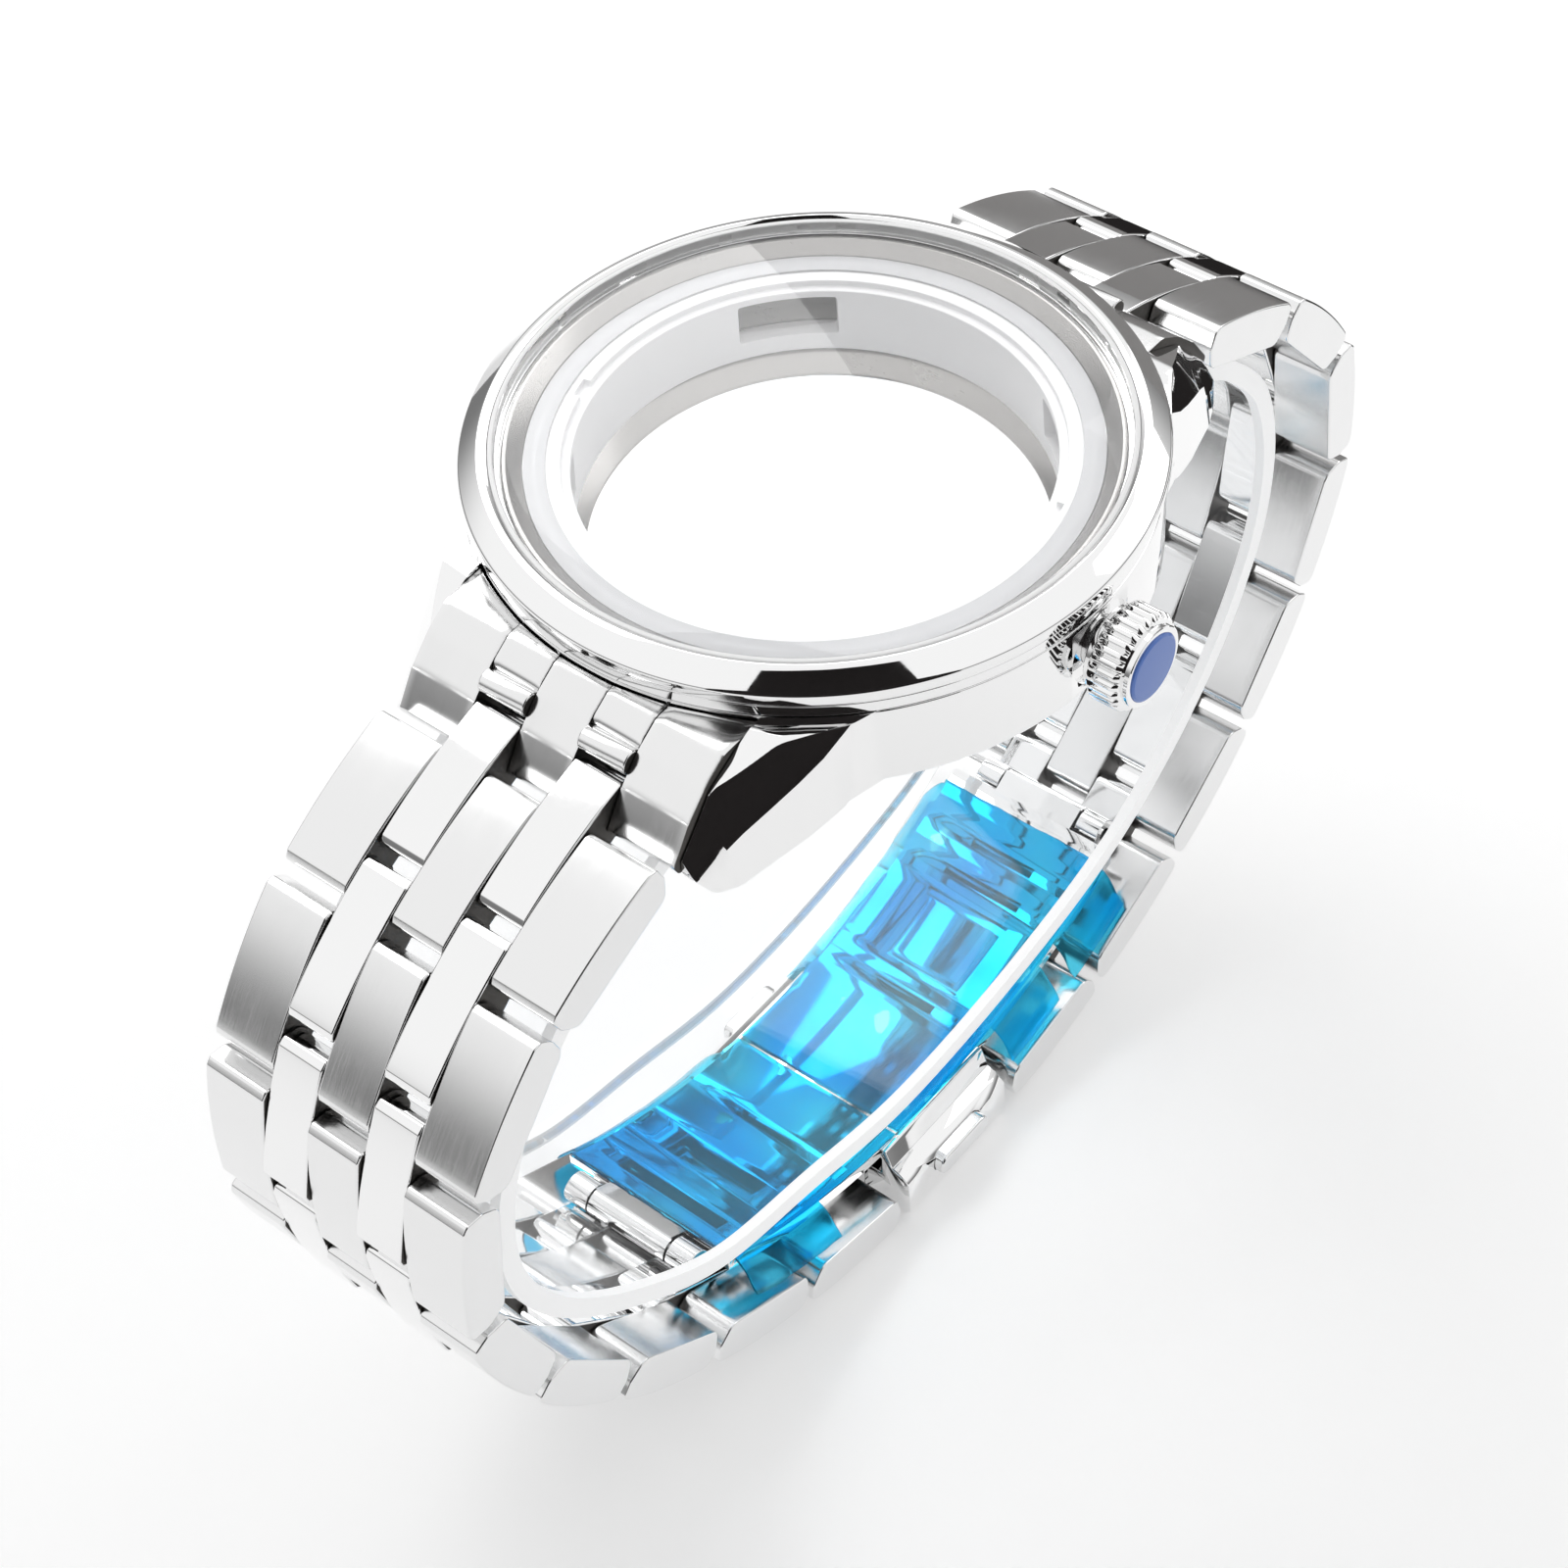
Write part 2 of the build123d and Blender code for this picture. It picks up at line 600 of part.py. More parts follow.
with BuildPart() as movement_ring:
    with BuildSketch(Plane.XZ):
        with BuildLine():
            Polyline(
                (HOLDER_BORE_R, HOLDER_LOW_Z), (HOLDER_R, HOLDER_LOW_Z), (HOLDER_R, HOLDER_TOP_Z),
                (DIAL_SEAT_R, HOLDER_TOP_Z), (DIAL_SEAT_R, 0), (HOLDER_BORE_R, 0), close=True,
            )
        make_face()
    revolve(axis=Axis.Z)
    with BuildSketch(Plane.XY.offset(WINDOW_LOW_Z)):
        with PolarLocations((HOLDER_BORE_R + HOLDER_R) / 2, 4, start_angle=WINDOW_TURN):
            Rectangle(HOLDER_R - HOLDER_BORE_R + OVERRUN, WINDOW_WIDTH)
    extrude(amount=WINDOW_HIGH_Z - WINDOW_LOW_Z, mode=Mode.SUBTRACT)
    with BuildSketch(Plane.YZ):
        with Locations((0, STEM_Z)):
            Circle(STEM_HOLE_R)
    extrude(amount=HOLDER_R + OVERRUN, mode=Mode.SUBTRACT)
    with BuildSketch(Plane.XY):
        with PolarLocations(DIAL_SEAT_R, 2, start_angle=WINDOW_TURN / 3):
            Rectangle(DIAL_NOTCH_DEPTH, DIAL_NOTCH_WIDTH)
    extrude(amount=HOLDER_TOP_Z, mode=Mode.SUBTRACT)
save(movement_ring, "movement_ring")

with BuildPart() as case_back:
    with BuildSketch(Plane.XZ):
        with BuildLine():
            Polyline(
                (BACK_SEAT_R, BACK_LOW_Z), (BACK_R - BACK_EDGE, BACK_LOW_Z),
                (BACK_R, BACK_LOW_Z + BACK_EDGE), (BACK_R, BACK_TOP_Z),
                (BACK_GROOVE_OUT_R, BACK_TOP_Z), (BACK_GROOVE_OUT_R, BACK_TOP_Z - BACK_GROOVE_DEPTH),
                (BACK_GROOVE_IN_R, BACK_TOP_Z - BACK_GROOVE_DEPTH), (BACK_GROOVE_IN_R, BACK_TOP_Z),
                (BACK_NECK_R, BACK_TOP_Z), (BACK_NECK_R, BACK_NECK_Z), (BACK_SLOPE_R, BACK_NECK_Z),
                (BACK_LEDGE_R, BACK_LEDGE_TOP_Z), (BACK_LEDGE_R, BACK_LEDGE_LOW_Z),
                (BACK_SEAT_R, BACK_LEDGE_LOW_Z), close=True,
            )
        make_face()
    revolve(axis=Axis.Z)
    with BuildSketch(Plane.XY.offset(BACK_LOW_Z)):
        with PolarLocations(BACK_R, BACK_KEYS):
            Rectangle(BACK_KEY_REACH * 2, BACK_KEY_WIDTH)
    extrude(amount=BACK_KEY_DEPTH, mode=Mode.SUBTRACT)
save(case_back, "case_back_ring")

# Crown group, turned about the stem's axis
crown_axis = Axis((0, 0, STEM_Z), (1, 0, 0))
with BuildPart() as crown_tube:
    with BuildSketch(Plane.XZ):
        with BuildLine():
            Polyline(*turned_x((
                (TUBE_START_X, TUBE_BORE_R), (TUBE_END_X, TUBE_BORE_R),
                (TUBE_END_X, TUBE_R), (TUBE_START_X, TUBE_R),
            )), close=True)
        make_face()
    revolve(axis=crown_axis)
save(crown_tube, "crown_tube")

with BuildPart() as crown_gasket:
    with BuildSketch(Plane.XZ):
        with BuildLine():
            Polyline(*turned_x((
                (CROWN_GASKET_START_X, CROWN_GASKET_BORE_R), (CROWN_GASKET_END_X, CROWN_GASKET_BORE_R),
                (CROWN_GASKET_END_X, CROWN_GASKET_R), (CROWN_GASKET_START_X, CROWN_GASKET_R),
            )), close=True)
        make_face()
    revolve(axis=crown_axis)
save(crown_gasket, "crown_gasket")

with BuildPart() as crown:
    with BuildSketch(Plane.XZ):
        with BuildLine():
            Polyline(*turned_x((
                (CROWN_START_X, CROWN_BORE_R), (CROWN_BORE_END_X, CROWN_BORE_R),
                (CROWN_BORE_END_X, 0), (DISC_SEAT_X, 0), (DISC_SEAT_X, DISC_R),
                (CROWN_BOSS_X, DISC_R), (CROWN_BOSS_X, CROWN_BOSS_R), (CROWN_END_X, CROWN_R),
                (CROWN_COLLAR_X, CROWN_R), (CROWN_COLLAR_X, CROWN_COLLAR_R),
                (CROWN_START_X, CROWN_COLLAR_R),
            )), close=True)
        make_face()
    revolve(axis=crown_axis)
    with BuildSketch(Plane.YZ.offset(CROWN_COLLAR_X)):
        with Locations((0, STEM_Z)):
            with PolarLocations(CROWN_R, CROWN_FLUTES):
                RegularPolygon(FLUTE_DEPTH, 4)
    extrude(amount=CROWN_END_X - CROWN_COLLAR_X, mode=Mode.SUBTRACT)
save(crown, "crown")

with BuildPart() as crown_disc:
    with BuildSketch(Plane.YZ.offset(DISC_SEAT_X)):
        with Locations((0, STEM_Z)):
            Circle(DISC_R)
    extrude(amount=DISC_X - DISC_SEAT_X)
save(crown_disc, "crown_disc")

# Spring bars and end links at both ends of the case
for clock, side in ((6, -1), (12, 1)):
    with BuildPart() as bar:
        with BuildSketch(Plane.YZ):
            with Locations((side * BAR_Y, BAR_Z)):
                Circle(BAR_R)
        extrude(amount=BAR_HALF_LENGTH, both=True)
        with BuildSketch(Plane.YZ):
            with Locations((side * BAR_Y, BAR_Z)):
                Circle(BAR_TIP_R)
        extrude(amount=BAR_TIP_HALF_LENGTH, both=True)
    save(bar, f"spring_bar_{clock}")

    block = (
        (END_TOP_Y, END_TOP_Z), (END_CREST_Y, END_CREST_Z), (END_STEP_Y, END_STEP_Z),
        (END_LIP_Y, END_LIP_Z), (END_CHIN_Y, END_CHIN_Z), (END_KEEL_Y, END_KEEL_Z),
        (END_TOP_Y, END_HEEL_Z),
    )
    roll = (
        (END_TOP_Y, END_TOP_Z), (END_CREST_Y, END_CREST_Z), (ROLL_Y, ROLL_BRIDGE_Z),
        (ROLL_BACK_Y, ROLL_BRIDGE_Z), (ROLL_BACK_Y, ROLL_FLOOR_Z), (END_TOP_Y, ROLL_FLOOR_Z),
    )
    first_y = side * FIRST_PIN_Y
    with BuildPart() as end_link:
        with BuildSketch(Plane.YZ):
            with BuildLine():
                Polyline(*[(side * y, z) for y, z in block], close=True)
            make_face()
        extrude(amount=BAND_HALF_WIDTH, both=True)
        for hand in (-1, 1):
            with BuildSketch(Plane.XY.offset(END_HEEL_Z)):
                with Locations((hand * (ROW_INNER_X + ROW_OUTER_X) / 2, side * END_LIP_Y)):
                    Rectangle(ROW_OUTER_X - ROW_INNER_X, (END_LIP_Y - END_TOP_Y) * 2)
            extrude(amount=END_TOP_Z - END_HEEL_Z, mode=Mode.SUBTRACT)
        with BuildSketch(Plane.YZ):
            with BuildLine():
                Polyline(*[(side * y, z) for y, z in roll], close=True)
            make_face()
            with Locations((side * ROLL_Y, ROLL_Z)):
                Circle(ROLL_R)
        extrude(amount=ROW_OUTER_X, both=True)
        with BuildSketch(Plane.YZ):
            with Locations((first_y, FIRST_PIN_Z)):
                Circle(PIN_R)
        extrude(amount=BAND_HALF_WIDTH - PIN_INSET, both=True)
        with BuildSketch(Plane.YZ):
            with Locations((side * BAR_Y, BAR_Z)):
                Circle(BAR_SLEEVE_R)
        extrude(amount=BAND_HALF_WIDTH + OVERRUN, both=True, mode=Mode.SUBTRACT)
        with BuildSketch(Plane.XY.offset(END_HEEL_Z - OVERRUN)):
            Circle(END_LINK_CASE_R)
        extrude(amount=END_TOP_Z - END_HEEL_Z + OVERRUN * 2, mode=Mode.SUBTRACT)
    save(end_link, f"end_link_{clock}")

    # Links down one side, inner rows and outer rows in turn
    for index in range(len(SLOPES) - 1):
        number = index // 2 + 1
        if index % 2 == 0:
            save(inner_link(index, side), f"link_{clock}_inner_{number}")
        else:
            save(outer_link(index, side), f"link_{clock}_outer_{number}")


def clasp_band(outer_r, inner_r, low_y, high_y):
    """Part of a ring about the clasp's centre between two distances from the middle."""
    with Locations((0, CLASP_Z)):
        Circle(outer_r)
        Circle(inner_r, mode=Mode.SUBTRACT)
    with Locations(((low_y + high_y) / 2, CLASP_Z - outer_r)):
        Rectangle(high_y - low_y, outer_r * 2 - OVERRUN, mode=Mode.INTERSECT)


# Clasp base plate with the lock block in its middle
link_top_z = LOW_Z + LINK_THICKNESS / 2
link_under_z = LOW_Z - LINK_THICKNESS / 2
plate_top_z = CLASP_Z - PLATE_INNER_R - LOCK_TOP_DROP
plate_under_z = plate_top_z - LOCK_SHELF_DROP
lock_outer_x = band_half(len(SLOPES), 0)
button_middle_z = LOW_Z + BUTTON_RISE
web_top_z = CLASP_Z - ARM_INNER_R - ARM_THICKNESS / 2
with BuildPart() as plate:
    with BuildSketch(Plane.YZ):
        clasp_band(PLATE_OUTER_R, PLATE_INNER_R, -PLATE_END_Y, PLATE_END_Y)
    extrude(amount=PLATE_HALF_WIDTH, both=True)
    with BuildSketch(Plane.YZ):
        clasp_band(PLATE_OUTER_R, PLATE_INNER_R, -HINGE_Y, HINGE_Y)
        with Locations((-HINGE_Y, HINGE_Z), (HINGE_Y, HINGE_Z)):
            Circle(HINGE_KNUCKLE_R)
        with Locations((-HINGE_Y, HINGE_Z), (HINGE_Y, HINGE_Z)):
            Circle(CLASP_BORE_R, mode=Mode.SUBTRACT)
    extrude(amount=HINGE_MIDDLE_X, both=True)
    for hand in (-1, 1):
        lock = (
            (LOCK_INNER_X, plate_top_z), (lock_outer_x, plate_top_z), (lock_outer_x, link_under_z),
            (ROW_OUTER_X + LOCK_GAP, link_under_z), (ROW_OUTER_X + LOCK_GAP, link_top_z),
            (LOCK_WALL_X, link_top_z), (LOCK_WALL_X, plate_under_z), (LOCK_INNER_X, plate_under_z),
        )
        with BuildSketch(Plane.XZ):
            with BuildLine():
                Polyline(*[(hand * x, z) for x, z in lock], close=True)
            make_face()
        extrude(amount=LOCK_HALF_LENGTH, both=True)
        with BuildSketch(Plane.YZ.offset(hand * POCKET_ROOT_X)):
            with Locations((0, button_middle_z)):
                Rectangle((BUTTON_HALF_LENGTH + POCKET_GAP) * 2, (BUTTON_HALF_HEIGHT + POCKET_GAP) * 2)
        extrude(amount=hand * (lock_outer_x - POCKET_ROOT_X + OVERRUN), mode=Mode.SUBTRACT)
save(plate, "clasp_plate")

for clock, side in ((6, -1), (12, 1)):
    # Arm: curved plate, hinge knuckles, and the rows that meet in the middle
    last = len(SLOPES) - 1
    start = link_start(last)
    top = LINK_THICKNESS / 2
    tongue = (
        along(last, start + LINK_END_FLAT, top, side), along(last, PIN_STEP, top, side),
        (side * ARM_FREE_Y, link_under_z), (side * ARM_FREE_Y, link_top_z),
        along(last, PIN_STEP, -top, side), along(last, start + LINK_UNDER_FLAT, -top, side),
        along(last, start, -LINK_UNDER_START, side), along(last, start, top - LINK_END_DROP, side),
    )
    cover = PIN_STEP + link_start(1)
    middle_row = (
        (side * ARM_FREE_Y, link_under_z), along(last, PIN_STEP, top, side),
        along(last, cover + LINK_END_FLAT, top, side), along(last, cover, top - LINK_END_DROP, side),
        along(last, cover, -top, side), (side * ARM_FREE_Y, link_top_z),
    )
    web_y = PINS[-1][0] + WEB_REACH
    web = (
        (side * ARM_FREE_Y, LOW_Z), (side * web_y, LOW_Z),
        (side * web_y, web_top_z), (side * ARM_FREE_Y, web_top_z),
    )
    with BuildPart() as arm:
        with BuildSketch(Plane.YZ):
            low_y, high_y = sorted((side * ARM_FREE_Y, side * ARM_START_Y))
            clasp_band(ARM_OUTER_R, ARM_INNER_R, low_y, high_y)
        extrude(amount=ARM_HALF_WIDTH, both=True)
        for hand in (-1, 1):
            with BuildSketch(Plane.YZ.offset(hand * HINGE_SIDE_X)):
                low_y, high_y = sorted((side * (ARM_START_Y - OVERRUN), side * HINGE_Y))
                clasp_band(ARM_OUTER_R, ARM_INNER_R, low_y, high_y)
                with Locations((side * HINGE_Y, HINGE_Z)):
                    Circle(HINGE_KNUCKLE_R)
                with Locations((side * HINGE_Y, HINGE_Z)):
                    Circle(ARM_BORE_R, mode=Mode.SUBTRACT)
            extrude(amount=hand * (ARM_HALF_WIDTH - HINGE_SIDE_X))
        for hand in (-1, 1):
            with BuildSketch(Plane.YZ.offset(hand * (ROW_INNER_X + ROW_GAP))):
                with BuildLine():
                    Polyline(*tongue, close=True)
                make_face()
            extrude(amount=hand * (ROW_OUTER_X - ROW_INNER_X - ROW_GAP * 2))
        with BuildSketch(Plane.YZ):
            with BuildLine():
                Polyline(*middle_row, close=True)
            make_face()
            with BuildLine():
                Polyline(*web, close=True)
            make_face()
        extrude(amount=ROW_OUTER_X - ROW_GAP, both=True)
        y, z = PINS[last]
        with BuildSketch(Plane.YZ):
            with Locations((side * y, z)):
                Circle(PIN_BORE_R)
        extrude(amount=ROW_OUTER_X + OVERRUN, both=True, mode=Mode.SUBTRACT)
    save(arm, f"clasp_arm_{clock}")

    with BuildPart() as clasp_pin:
        with BuildSketch(Plane.YZ):
            with Locations((side * HINGE_Y, HINGE_Z)):
                Circle(CLASP_PIN_R)
        extrude(amount=ARM_HALF_WIDTH, both=True)
    save(clasp_pin, f"clasp_pin_{clock}")

for hand, place in ((-1, "left"), (1, "right")):
    with BuildPart() as button:
        with BuildSketch(Plane.YZ.offset(hand * BUTTON_ROOT_X)):
            with Locations((0, button_middle_z)):
                Rectangle(BUTTON_HALF_LENGTH * 2, BUTTON_HALF_HEIGHT * 2)
        extrude(amount=hand * (lock_outer_x + BUTTON_STAND - BUTTON_ROOT_X))
    save(button, f"clasp_button_{place}")

film_outer_r = PLATE_INNER_R - FILM_GAP
for name, low_y, high_y in (
    ("film_6", FILM_LOW_Y, FILM_SPLIT_Y),
    ("film_12", FILM_SPLIT_Y + FILM_SPLIT_GAP, FILM_HIGH_Y),
):
    with BuildPart() as film:
        with BuildSketch(Plane.YZ):
            clasp_band(film_outer_r, film_outer_r - FILM_THICKNESS, low_y, high_y)
        extrude(amount=FILM_HALF_WIDTH, both=True)
    save(film, name)

# Loose strip: one curve, thickened to both sides
strip_half_span = max(y for y, z in PINS) - STRIP_SIDE_ROOM
strip_top_z = END_HEEL_Z - STRIP_TOP_ROOM
strip_drop = strip_top_z - (CLASP_Z - PLATE_INNER_R + STRIP_LOW_ROOM)
strip_points = [
    (strip_half_span * across, strip_top_z - strip_drop * down) for across, down in STRIP_SHARES
]


def beside(points, reach):
    """The points moved sideways off their curve by reach."""
    moved = []
    earlier = [points[0]] + points
    later = points[1:] + [points[-1]]
    for before, (y, z), after in zip(earlier, points, later):
        run, rise = after[0] - before[0], after[1] - before[1]
        size = math.hypot(run, rise)
        moved.append((y - reach * rise / size, z + reach * run / size))
    return moved


inside = beside(strip_points, STRIP_THICKNESS / 2)
outside = beside(strip_points, -STRIP_THICKNESS / 2)
with BuildPart() as strip:
    with BuildSketch(Plane.YZ):
        with BuildLine():
            Spline(*inside)
            Line(inside[-1], outside[-1])
            Spline(*outside)
            Line(outside[0], inside[0])
        make_face()
    extrude(amount=STRIP_HALF_WIDTH, both=True)
save(strip, "inner_strip")
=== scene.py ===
# %% [markdown]
# # An empty watch case on its bracelet
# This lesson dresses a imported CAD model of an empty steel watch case. The case stands
# on its closed bracelet, as if it lay on a white table in a photo studio. The CAD
# model gives the place and size of every piece, and this script gives each piece the
# rounded edges, the finer shape and the finish that a camera sees.
# All sizes are written in millimetres and turned into metres when a mesh is made.

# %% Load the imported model
import json
import math
from functools import partial

import bmesh
import bpy
from mathutils import Matrix, Vector, noise


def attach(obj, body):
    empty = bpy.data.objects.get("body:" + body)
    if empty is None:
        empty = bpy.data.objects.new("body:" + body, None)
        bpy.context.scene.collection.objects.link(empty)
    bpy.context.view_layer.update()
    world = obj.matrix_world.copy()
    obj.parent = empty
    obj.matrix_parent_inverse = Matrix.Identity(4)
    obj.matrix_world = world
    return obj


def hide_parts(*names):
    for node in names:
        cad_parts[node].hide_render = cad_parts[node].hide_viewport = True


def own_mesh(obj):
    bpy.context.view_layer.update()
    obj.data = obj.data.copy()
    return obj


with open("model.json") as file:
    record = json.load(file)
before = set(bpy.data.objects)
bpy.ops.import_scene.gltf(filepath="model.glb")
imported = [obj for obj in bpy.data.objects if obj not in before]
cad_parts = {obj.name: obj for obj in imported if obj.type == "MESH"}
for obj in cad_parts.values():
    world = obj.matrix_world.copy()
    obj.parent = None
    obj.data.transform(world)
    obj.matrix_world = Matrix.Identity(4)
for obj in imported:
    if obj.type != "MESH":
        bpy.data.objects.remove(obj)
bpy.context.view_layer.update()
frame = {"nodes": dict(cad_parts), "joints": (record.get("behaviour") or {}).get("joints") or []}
MM = 0.001


def new_object(name, data):
    item = bpy.data.objects.new(name, data)
    bpy.context.scene.collection.objects.link(item)
    return item


# %% [markdown]
# ## Where the hinges are
# Every link turns on two pins. The record lists the joints with their places, so the
# script reads the pins there and never measures them again. Each side of the bracelet
# gives one list of points, from the case down to the clasp.

# %% Hinge points of both sides
PIN_STEP = 5.2
HINGES = 17
LINKS = HINGES - 1
joint_place = {joint["name"]: joint.get("pos_m") for joint in frame["joints"]}


def hinge_points(clock):
    """Places of the pins on one side, as (y, z) in millimetres. Both sides are alike."""
    side = 1 if clock == 12 else -1
    points = []
    for count in range(1, HINGES + 1):
        place = joint_place[f"bracelet_6_hinge_{count}"]
        points.append((-side * place[1] / MM, place[2] / MM))
    last_y, last_z = points[-1]
    drop = math.sqrt(PIN_STEP ** 2 - (abs(last_y) - PIN_STEP / 2) ** 2)
    points.append((side * PIN_STEP / 2, last_z - drop))
    return points


pins = {clock: hinge_points(clock) for clock in (6, 12)}
print("lowest pin height in mm", round(pins[6][-1][1], 2))

# %% [markdown]
# ## The camera
# The photograph was taken from above the crown side with a long lens, about 20 cm
# away. The three turns below were found by fitting circles and link edges of the case
# to the picture, which a hand-placed camera could not match as well.

# %% Camera
CAMERA_PLACE = (93.91, -109.09, 132.43)
CAMERA_TURN = (41.884, 3.055, 38.597)
FOCAL_PIXELS = 3492.07
PHOTO_PIXELS = 1600
SENSOR_WIDTH = 36.0
NEAR_CLIP = 5.0

camera_data = bpy.data.cameras.new("studio_camera")
camera_data.sensor_fit = "HORIZONTAL"
camera_data.sensor_width = SENSOR_WIDTH
camera_data.lens = SENSOR_WIDTH * FOCAL_PIXELS / PHOTO_PIXELS
camera_data.clip_start = NEAR_CLIP * MM
camera = new_object("studio_camera", camera_data)
camera.location = Vector(CAMERA_PLACE) * MM
camera.rotation_euler = [math.radians(turn) for turn in CAMERA_TURN]
bpy.context.scene.camera = camera
print("lens in mm", round(camera_data.lens, 2))

# %% [markdown]
# ## Helpers for turned and sawn pieces
# Most pieces of a watch case are turned on a lathe or milled from bar. So two helpers
# do most of the work: one turns an outline about an axis, the other pushes an outline
# sideways. Real edges are never sharp, so outlines get their corners rounded first.


# %% Rounded outlines
def rounded(corners, radius, steps=4, open_ends=False):
    """The outline with an arc at each corner. A radius may be one number or one per corner."""
    count = len(corners)
    radii = radius if isinstance(radius, (list, tuple)) else [radius] * count
    result = []
    for index, corner in enumerate(corners):
        here = Vector(corner)
        before = Vector(corners[index - 1])
        after = Vector(corners[(index + 1) % count])
        if radii[index] <= 0 or (open_ends and index in (0, count - 1)):
            result.append(tuple(here))
            continue
        toward, away = (before - here), (after - here)
        half = toward.angle(away) / 2
        reach = min(radii[index] / math.tan(half), toward.length * 0.45, away.length * 0.45)
        start = here + toward.normalized() * reach
        end = here + away.normalized() * reach
        for step in range(steps + 1):
            share = step / steps
            first = start.lerp(here, share)
            second = here.lerp(end, share)
            result.append(tuple(first.lerp(second, share)))
    return result

# %% Meshes from outlines
MERGE_GAP = 1e-7
CREASE = 28


def write_mesh(work, mesh, angle):
    """Faces outwards, soft shading, and sharp creases past an angle."""
    bmesh.ops.recalc_face_normals(work, faces=work.faces)
    work.to_mesh(mesh)
    work.free()
    mesh.shade_smooth()
    mesh.set_sharp_from_angle(angle=math.radians(angle))


def from_bmesh(name, work, angle=CREASE):
    """A finished object with its doubles merged."""
    bmesh.ops.remove_doubles(work, verts=work.verts, dist=MERGE_GAP)
    mesh = bpy.data.meshes.new(name)
    write_mesh(work, mesh, angle)
    return new_object(name, mesh)


def add_row(work, points):
    return [work.verts.new(Vector(point) * MM) for point in points]


def bridge(work, first, second, closed=True):
    """Quads between two rows of points, and from the last pair to the first if closed."""
    for index in range(len(first) if closed else len(first) - 1):
        after = (index + 1) % len(first)
        work.faces.new((first[index], first[after], second[after], second[index]))


def add_block(work, sections):
    """A closed body through sections of points in millimetres."""
    rings = [add_row(work, section) for section in sections]
    for first, second in zip(rings, rings[1:]):
        bridge(work, first, second)
    work.faces.new(rings[0])
    work.faces.new(rings[-1][::-1])


def block(name, sections):
    work = bmesh.new()
    add_block(work, sections)
    return from_bmesh(name, work)


def sawn(name, outline, from_x, to_x):
    """Push a closed outline of (y, z) from one x to another."""
    work = bmesh.new()
    left, right = [add_row(work, [(x, y, z) for y, z in outline]) for x in (from_x, to_x)]
    work.faces.new(left)
    work.faces.new(right[::-1])
    for index in range(len(outline)):
        after = (index + 1) % len(outline)
        work.faces.new((left[index], right[index], right[after], left[after]))
    return from_bmesh(name, work)


def lathe(name, outline, segments=288, axis="Z", height=0.0, angle=CREASE):
    """Turn a closed outline of (radius, place along) about Z, or an X axis at a height."""
    work = bmesh.new()
    rings = []
    for radius, along in outline:
        ring = []
        for step in range(segments if radius else 1):
            turn = math.tau * step / segments
            across, up = radius * math.cos(turn), radius * math.sin(turn)
            ring.append((across, up, along) if axis == "Z" else (along, across, up + height))
        rings.append(add_row(work, ring))
    for first, second in zip(rings, rings[1:] + rings[:1]):
        if len(first) != len(second):
            pole, ring = sorted((first, second), key=len)
            for step in range(segments):
                work.faces.new((pole[0], ring[step - 1], ring[step]))
        elif len(first) > 1:
            bridge(work, first, second)
    return from_bmesh(name, work, angle)


# %% Finishing a piece
def settle(item):
    graph = bpy.context.evaluated_depsgraph_get()
    mesh = bpy.data.meshes.new_from_object(item.evaluated_get(graph), depsgraph=graph)
    item.modifiers.clear()
    item.data = mesh
    return item


def soften(item, width, segments=2, angle=25):
    """Round every edge sharper than an angle, with a Bevel modifier that is applied."""
    bevel = item.modifiers.new("edges", "BEVEL")
    bevel.width = width * MM
    bevel.segments = segments
    bevel.limit_method = "ANGLE"
    bevel.angle_limit = math.radians(angle)
    bevel.harden_normals = True
    bevel.use_clamp_overlap = True
    return settle(item)


def carve(item, tool, operation="DIFFERENCE"):
    """Cut with, or add, another closed piece. The tool is gone afterwards."""
    boolean = item.modifiers.new("carve", "BOOLEAN")
    boolean.object = tool
    boolean.operation = operation
    boolean.solver = "EXACT"
    settle(item)
    bpy.data.objects.remove(tool)
    return item


def tidy(item, angle=CREASE):
    """Merge doubles, turn every face outwards and shade the mesh again."""
    work = bmesh.new()
    work.from_mesh(item.data)
    bmesh.ops.remove_doubles(work, verts=work.verts, dist=MERGE_GAP)
    bmesh.ops.dissolve_degenerate(work, edges=work.edges, dist=MERGE_GAP)
    write_mesh(work, item.data, angle)
    return item


def dress(item, body, material, nodes):
    """Give a piece its finish and let it ride on its body in place of its CAD nodes."""
    item.data.materials.clear()
    item.data.materials.append(material)
    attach(item, body)
    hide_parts(*nodes)
    return item


def rod(name, radius, from_x, to_x, place, segments=48):
    """A round bar along x, centred on place = (y, z)."""
    turns = [math.tau * step / segments for step in range(segments)]
    outline = [(place[0] + radius * math.cos(turn), place[1] + radius * math.sin(turn))
               for turn in turns]
    return sawn(name, outline, from_x, to_x)


def joined(name, items):
    """One object from several, for pieces that ride on the same body."""
    work = bmesh.new()
    for item in items:
        work.from_mesh(item.data)
        bpy.data.objects.remove(item)
    return from_bmesh(name, work)

# %% [markdown]
# ## Finishes that every metal shares
# Steel is cut in two ways here. Satin steel is drawn over a belt, which leaves long
# fine lines. Polished steel is buffed, which leaves only a faint haze. Two shader
# groups hold those effects, so that every metal gets them from one place. A picture of
# brushed metal could do it too, but it would blur close up.


# %% Helpers for nodes
def wire(tree, node, inputs):
    """Give inputs a value or the socket that feeds them. A node means its first output."""
    for place, value in inputs.items():
        if isinstance(value, bpy.types.Node):
            value = value.outputs[0]
        if isinstance(value, bpy.types.NodeSocket):
            tree.links.new(value, node.inputs[place])
        else:
            node.inputs[place].default_value = value
    return node


